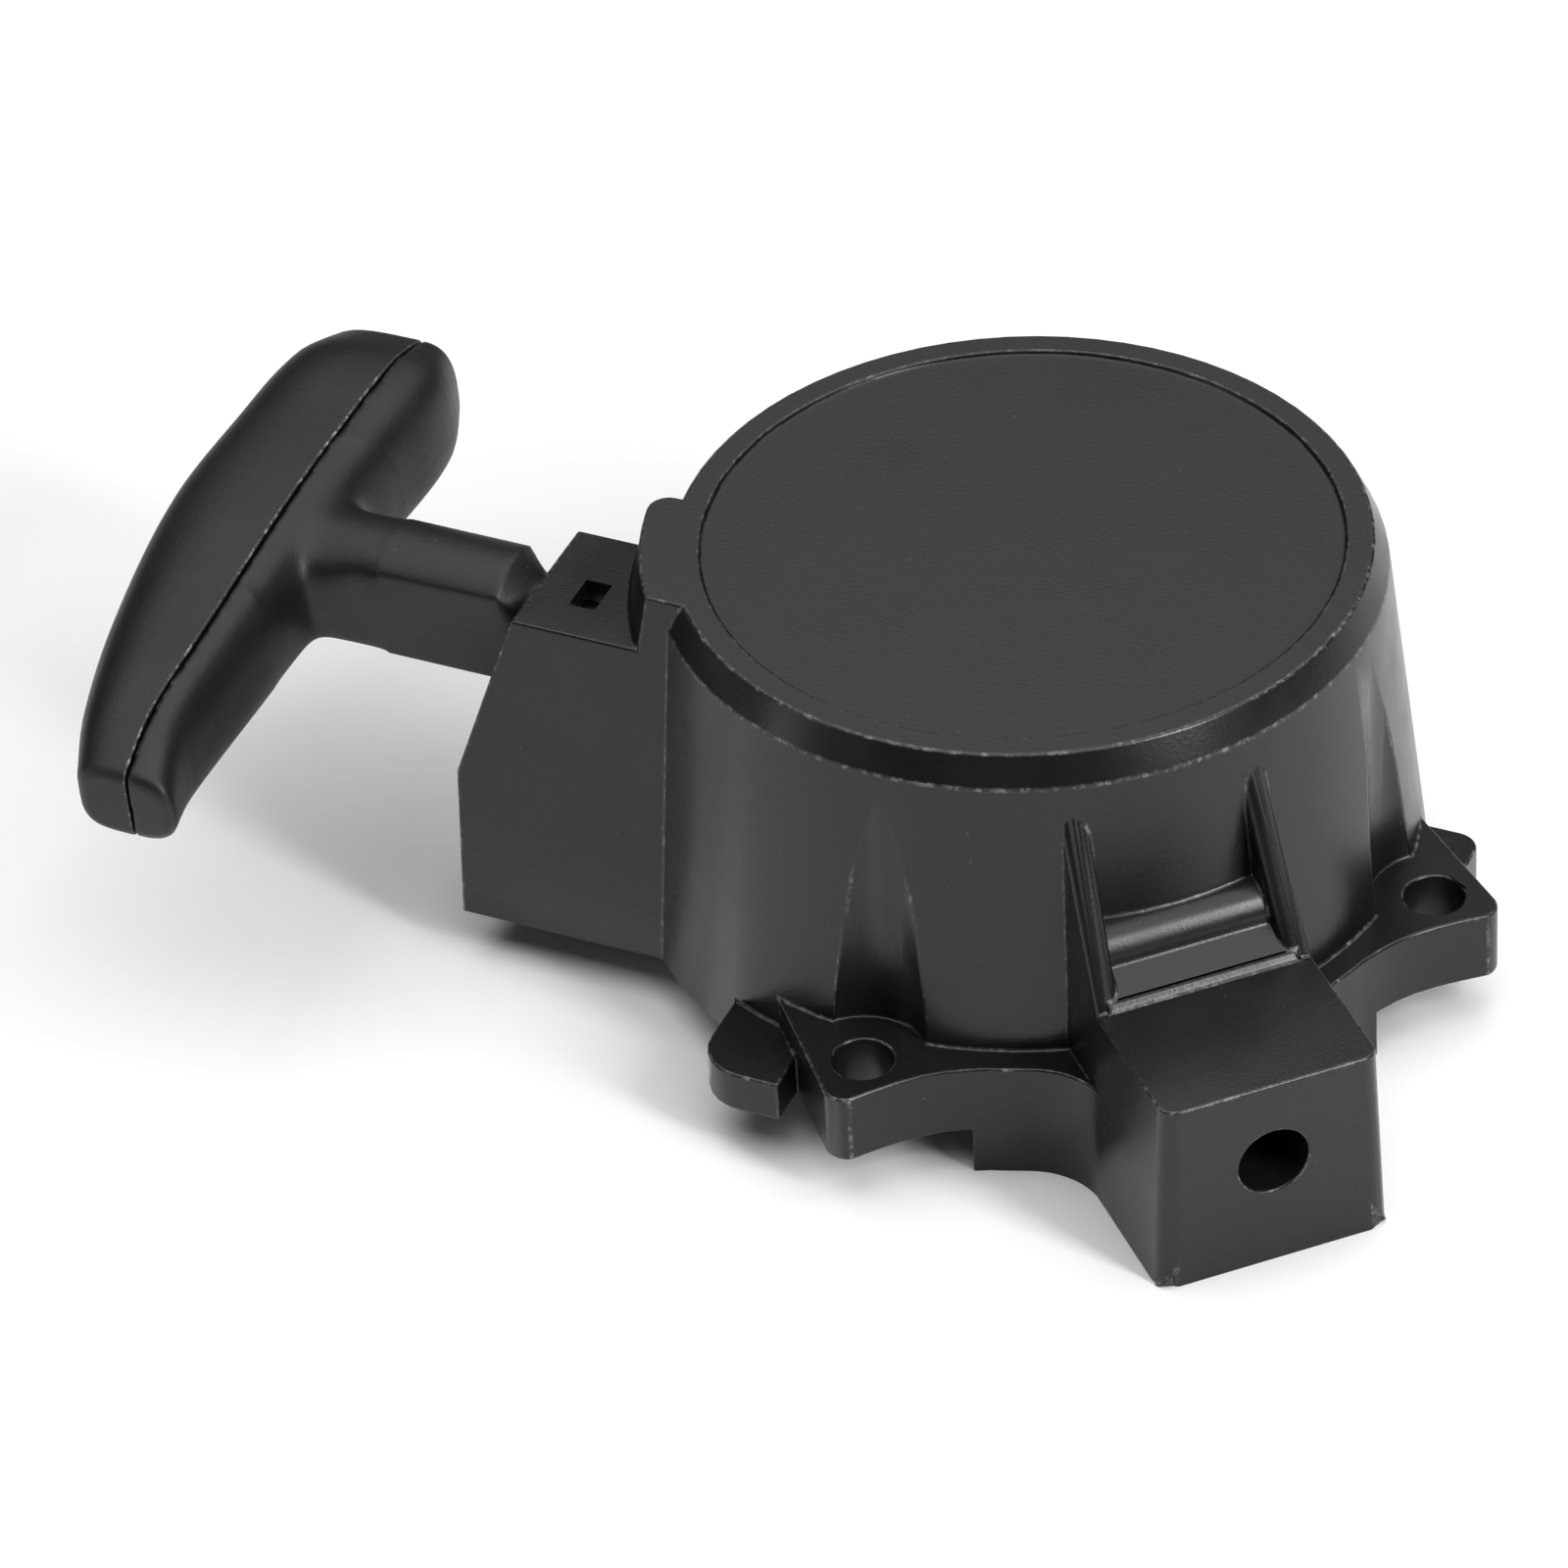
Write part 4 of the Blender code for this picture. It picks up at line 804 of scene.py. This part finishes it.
class STARTER_OT_rope(bpy.types.Operator):
    """Lay the braided rope and its knots"""

    bl_idname = "starter.rope"
    bl_label = "Pull rope"

    def tube(self, points, radius, repeats, name, node, look, sides=20):
        """A rope along the points, with its braid's coordinates in a UV map."""
        path = [Vector(point) for point in points]
        rings = []
        for i, place in enumerate(path):
            ahead = path[min(i + 1, len(path) - 1)] - path[max(i - 1, 0)]
            across = ahead.cross(Vector((0.0, 0.0, 1.0))).normalized()
            up = across.cross(ahead).normalized()
            ring = []
            for j in range(sides):
                turn = 2 * math.pi * j / sides
                ring.append(place + (across * math.cos(turn) + up * math.sin(turn)) * radius)
            rings.append(ring)
        bm = bmesh.new()
        bridge(bm, rings)
        self.wrap(bm, path, repeats)
        return finish_mesh(bm, name, [look], node, weighted=False)

    def wrap(self, bm, path, repeats):
        """Give each corner its share of the way along the path and of the way round it."""
        layer = bm.loops.layers.uv.new("braid")
        lengths = [0.0]
        for a, b in zip(path, path[1:]):
            lengths.append(lengths[-1] + (b - a).length)
        total = lengths[-1]
        for face in bm.faces:
            first = None
            for loop in face.loops:
                near = min(range(len(path)), key=lambda i: (path[i] - loop.vert.co).length)
                ahead = path[min(near + 1, len(path) - 1)] - path[max(near - 1, 0)]
                across = ahead.cross(Vector((0.0, 0.0, 1.0))).normalized()
                up = across.cross(ahead).normalized()
                off = loop.vert.co - path[near]
                turn = math.atan2(off.dot(up), off.dot(across)) / (2 * math.pi)
                first = turn if first is None else first
                turn -= round(turn - first)
                loop[layer].uv = (repeats * lengths[near] / total, turn)

    def execute(self, context):
        sizes = context.scene.starter_rope
        look = braided("braided_polyester_rope", "#b9b8b2", 8)
        low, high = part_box("rope_lead")
        steps = 48
        line = [
            (low.x + (high.x - low.x) * i / steps, ROPE_Y, ROPE_Z) for i in range(steps + 1)
        ]
        # The lead's braid is packed close at rest, inside the neck, so that it opens to its
        # real repeat when the rope is pulled out.
        pulled = PULL_LENGTH + high.x - low.x
        lead = self.tube(
            line, sizes.radius, pulled / sizes.braid, "pull_rope_lead", "rope_lead", look
        )
        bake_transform(lead)

        run = rope_run_line()
        length = sum((b - a).length for a, b in zip(run, run[1:]))
        piece = self.tube(
            run, sizes.radius, length / sizes.braid, "rope_to_outlet", "rope_run", look
        )
        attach(piece, "housing")
        self.wind(look, sizes.braid)
        for node, name in (("handle_knot", "knot_in_grip"), ("reel_knot", "knot_in_reel")):
            self.tie(node, name, look, sizes.braid)
        return {"FINISHED"}

    def wind(self, look, repeat):
        """The rope wound on the reel: the CAD ring, with its braid running round it."""
        bm = copied("rope_wound")
        low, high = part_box("rope_wound")
        middle = (low.z + high.z) / 2
        layer = bm.loops.layers.uv.new("braid")
        around = 2 * math.pi * high.x / repeat
        bmesh.ops.subdivide_edges(bm, edges=bm.edges, cuts=1, use_grid_fill=True)
        for face in bm.faces:
            first = None
            for loop in face.loops:
                x, y, z = loop.vert.co
                turn = math.atan2(y, x) / (2 * math.pi)
                first = turn if first is None else first
                turn -= round(turn - first)
                loop[layer].uv = (round(around) * turn, (z - middle) / (high.z - low.z))
        piece = finish_mesh(bm, "rope_on_reel", [look], "rope_wound")
        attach(piece, BODY_OF["rope_wound"])

    def tie(self, node, name, look, repeat):
        """A closed trefoil of rope, with no ends, scaled to fill the CAD knot's box."""
        low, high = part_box(node)
        middle = (low + high) / 2
        half = (high - low) / 2
        count = 60
        path = []
        for i in range(count):
            t = 2 * math.pi * i / count
            x = math.sin(t) + 2 * math.sin(2 * t)
            y = math.cos(t) - 2 * math.cos(2 * t)
            z = -math.sin(3 * t)
            path.append(Vector((z * 1.1, x, y)) * KNOT_SPREAD)
        sides = 12
        bm = bmesh.new()
        loops = []
        rings = []
        for i, place in enumerate(path):
            ahead = (path[(i + 1) % count] - path[i - 1]).normalized()
            across = ahead.cross(place.normalized()).normalized()
            up = across.cross(ahead).normalized()
            verts = bmesh.ops.create_circle(bm, segments=sides, radius=MM)["verts"]
            for j, vert in enumerate(verts):
                turn = 2 * math.pi * j / sides
                vert.co = place + (across * math.cos(turn) + up * math.sin(turn)) * KNOT_STRAND
            rings.append(verts)
            loops.append({edge for vert in verts for edge in vert.link_edges})
        for first, second in zip(loops, loops[1:] + loops[:1]):
            bmesh.ops.bridge_loops(bm, edges=list(first | second))
        bmesh.ops.recalc_face_normals(bm, faces=bm.faces)
        layer = bm.loops.layers.uv.new("braid")
        share = {}
        for i, verts in enumerate(rings):
            for j, vert in enumerate(verts):
                share[vert] = (i / count, j / sides)
        repeats = round(KNOT_ROPE / repeat)
        for face in bm.faces:
            base = share[face.loops[0].vert]
            for loop in face.loops:
                u, v = share[loop.vert]
                u -= round(u - base[0])
                v -= round(v - base[1])
                loop[layer].uv = (u * repeats, v)
        reach = max(max(abs(v) for v in vert.co) for vert in bm.verts)
        bmesh.ops.scale(bm, vec=half / reach, verts=bm.verts)
        bmesh.ops.translate(bm, vec=middle, verts=bm.verts)
        piece = finish_mesh(bm, name, [look], node, weighted=False)
        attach(piece, BODY_OF[node])


def rope_run_line():
    """The line of the rope from its last touch on the winding to the bush."""
    radius = WOUND_RADIUS + WOUND_GAP + ROPE_RADIUS
    inner_end = Vector((BUSH_END_X, ROPE_Y))
    heading = math.atan2(inner_end.y, inner_end.x)
    touch = heading + math.acos(radius / inner_end.length)
    points = []
    for i in range(25):
        turn = touch + math.radians(50.0) * (1 - i / 24)
        points.append((radius * math.cos(turn), radius * math.sin(turn), ROPE_Z))
    contact = Vector(points[-1])
    end = Vector((inner_end.x, inner_end.y, ROPE_Z))
    for i in range(1, 12):
        points.append(tuple(contact.lerp(end, i / 13)))
    return [Vector(point) for point in points]


class STARTER_OT_drive(bpy.types.Operator):
    """Finish the reel, the dogs, the guide and their springs"""

    bl_idname = "starter.drive"
    bl_label = "Reel and drive"

    def execute(self, context):
        nylon = moulded("natural_nylon", "#c9c2ad", "#e6e2d6", 0.45, 0.8 * MM, 0.03 * MM, 0.0)
        hard = metal("hardened_stamped_steel", "#8d8c8a", 0.36, 0.35 * MM, (1.0, 0.25, 1.0))
        strip = metal("oiled_spring_strip", "#5d6068", 0.28, 0.5 * MM, (1.0, 1.0, 0.1))
        refined("reel", "reel_moulding", nylon, 0.3 * MM)
        for letter in "ab":
            refined(f"dog_{letter}", f"drive_dog_{letter}", hard, 0.25 * MM)
        refined("ratchet_guide", "ratchet_guide_plate", hard, 0.15 * MM)
        refined("recoil_spring", "recoil_spring_strip", strip, 0.08 * MM, 2)
        return {"FINISHED"}


class STARTER_OT_hardware(bpy.types.Operator):
    """Finish the pins, washers, screw, bush and wire springs"""

    bl_idname = "starter.hardware"
    bl_label = "Hardware"

    def execute(self, context):
        zinc = metal("zinc_plated_steel", "#b9bcbd", 0.3, 0.3 * MM, (1.0, 1.0, 1.0))
        bush = metal("rope_polished_steel", "#9a9a9a", 0.22, 0.4 * MM, (0.2, 1.0, 1.0))
        for node in ("dog_pin_a", "dog_pin_b", "centre_washer", "knot_washer", "centre_screw"):
            refined(node, f"{node}_finished", zinc, 0.15 * MM, 2)
        for node in ("dog_return_spring", "brake_spring"):
            bm = copied(node)
            piece = finish_mesh(bm, f"{node}_wire", [zinc], node, weighted=False)
            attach(piece, BODY_OF[node])
        refined("rope_bush", "rope_bush_turned", bush, 0.15 * MM, 2)
        return {"FINISHED"}


class STARTER_OT_studio(bpy.types.Operator):
    """Set up the floor, the lights and the camera"""

    bl_idname = "starter.studio"
    bl_label = "Studio"

    def lamp(self, name, power, size, place, aim):
        data = bpy.data.lights.new(name, "AREA")
        data.energy = power
        data.shape = "RECTANGLE"
        data.size, data.size_y = size
        lamp = bpy.data.objects.new(name, data)
        lamp.location = place
        lamp.rotation_euler = (Vector(aim) - Vector(place)).to_track_quat("-Z", "Y").to_euler()
        bpy.context.scene.collection.objects.link(lamp)

    def reflector(self, name, normal, length, power):
        """A narrow glowing strip just over the floor that draws one upright streak on the wall."""
        toward = 2 * normal - CAMERA_AZIMUTH
        start = Vector((math.cos(normal), math.sin(normal), 0.0)) * WALL_FOOT_RADIUS
        along = Vector((math.cos(toward), math.sin(toward), 0.0))
        place = start + along * (length / 2 + REFLECTOR_GAP) + Vector((0.0, 0.0, REFLECTOR_HEIGHT))
        data = bpy.data.lights.new(name, "AREA")
        data.energy = power
        data.shape = "RECTANGLE"
        data.size = length
        data.size_y = REFLECTOR_WIDTH
        lamp = bpy.data.objects.new(name, data)
        lamp.location = place
        lamp.rotation_euler = (math.pi, 0.0, toward)
        lamp.visible_camera = False
        bpy.context.scene.collection.objects.link(lamp)

    def execute(self, context):
        look = context.scene.starter_studio
        made, tree, shader = blank("pale_paper_floor")
        # Seamless background paper: matt, with a faint mottle.
        place = add(tree, "ShaderNodeTexCoord").outputs["Object"]
        mottle = add(
            tree, "ShaderNodeTexNoise", {"Vector": place, "Scale": 1 / 0.25, "Detail": 2.0}
        ).outputs["Fac"]
        shade = add(tree, "ShaderNodeMix", {"Factor": mottle}, data_type="RGBA")
        shade.inputs["A"].default_value = linear(look.floor)
        shade.inputs["B"].default_value = linear("#f8f8f8")
        tree.links.new(shade.outputs["Result"], shader.inputs["Base Color"])
        shader.inputs["Roughness"].default_value = 0.9
        bm = bmesh.new()
        bmesh.ops.create_grid(bm, x_segments=8, y_segments=8, size=3.0)
        mesh = bpy.data.meshes.new("floor")
        bm.to_mesh(mesh)
        bm.free()
        mesh.materials.append(made)
        floor = bpy.data.objects.new("floor", mesh)
        bpy.context.scene.collection.objects.link(floor)

        self.lamp("overhead", look.overhead, (1.9, 1.9), (0.0, 0.1, 1.2), (0.0, 0.0, 0.0))
        self.lamp("left_strip", look.left_strip, (0.07, 0.4), (-0.4, -0.35, 0.2), (0, 0, 0.03))
        self.lamp("right_box", look.right_box, (0.12, 0.4), (0.58, -0.2, 0.43), (0, 0, 0.03))
        for i, (normal, length) in enumerate(REFLECTORS):
            self.reflector(f"reflector_{i}", math.radians(normal), length, look.reflectors)
        world = bpy.data.worlds.new("room")
        world.use_nodes = True
        back = world.node_tree.nodes["Background"]
        back.inputs["Color"].default_value = linear("#f6f7f8")
        back.inputs["Strength"].default_value = look.sky
        context.scene.world = world
        context.scene.view_settings.view_transform = "Standard"

        data = bpy.data.cameras.new("camera")
        data.lens = CAMERA_LENS
        data.sensor_width = 36.0
        data.clip_end = 10.0
        camera = bpy.data.objects.new("camera", data)
        camera.location = CAMERA_PLACE
        camera.rotation_euler = [math.radians(v) for v in CAMERA_TURN]
        context.scene.collection.objects.link(camera)
        context.scene.camera = camera
        return {"FINISHED"}


STEPS = (
    STARTER_OT_studio,
    STARTER_OT_shell,
    STARTER_OT_grip,
    STARTER_OT_rope,
    STARTER_OT_drive,
    STARTER_OT_hardware,
)


class STARTER_PT_panel(bpy.types.Panel):
    bl_label = "Recoil starter"
    bl_idname = "STARTER_PT_panel"
    bl_space_type = "VIEW_3D"
    bl_region_type = "UI"
    bl_category = "Starter"

    def draw(self, context):
        layout = self.layout
        for step in STEPS:
            layout.operator(step.bl_idname)
        for group in GROUPS:
            sizes = getattr(context.scene, group)
            for name in sizes.bl_rna.properties.keys():
                if name not in ("rna_type", "name"):
                    layout.prop(sizes, name)


GROUPS = {
    "starter_shell": ShellSizes,
    "starter_grip": GripSizes,
    "starter_rope": RopeSizes,
    "starter_studio": StudioLook,
}
CLASSES = (*GROUPS.values(), *STEPS, STARTER_PT_panel)


def register():
    for item in CLASSES:
        bpy.utils.register_class(item)
    for name, group in GROUPS.items():
        setattr(bpy.types.Scene, name, bpy.props.PointerProperty(type=group))


def unregister():
    for name in GROUPS:
        delattr(bpy.types.Scene, name)
    for item in reversed(CLASSES):
        bpy.utils.unregister_class(item)


def main():
    for obj in [obj for obj in bpy.data.objects if obj.name in ("Cube", "Light", "Camera")]:
        bpy.data.objects.remove(obj)
    register()
    for step in STEPS:
        group, name = step.bl_idname.split(".")
        getattr(getattr(bpy.ops, group), name)()


if __name__ == "__main__":
    main()
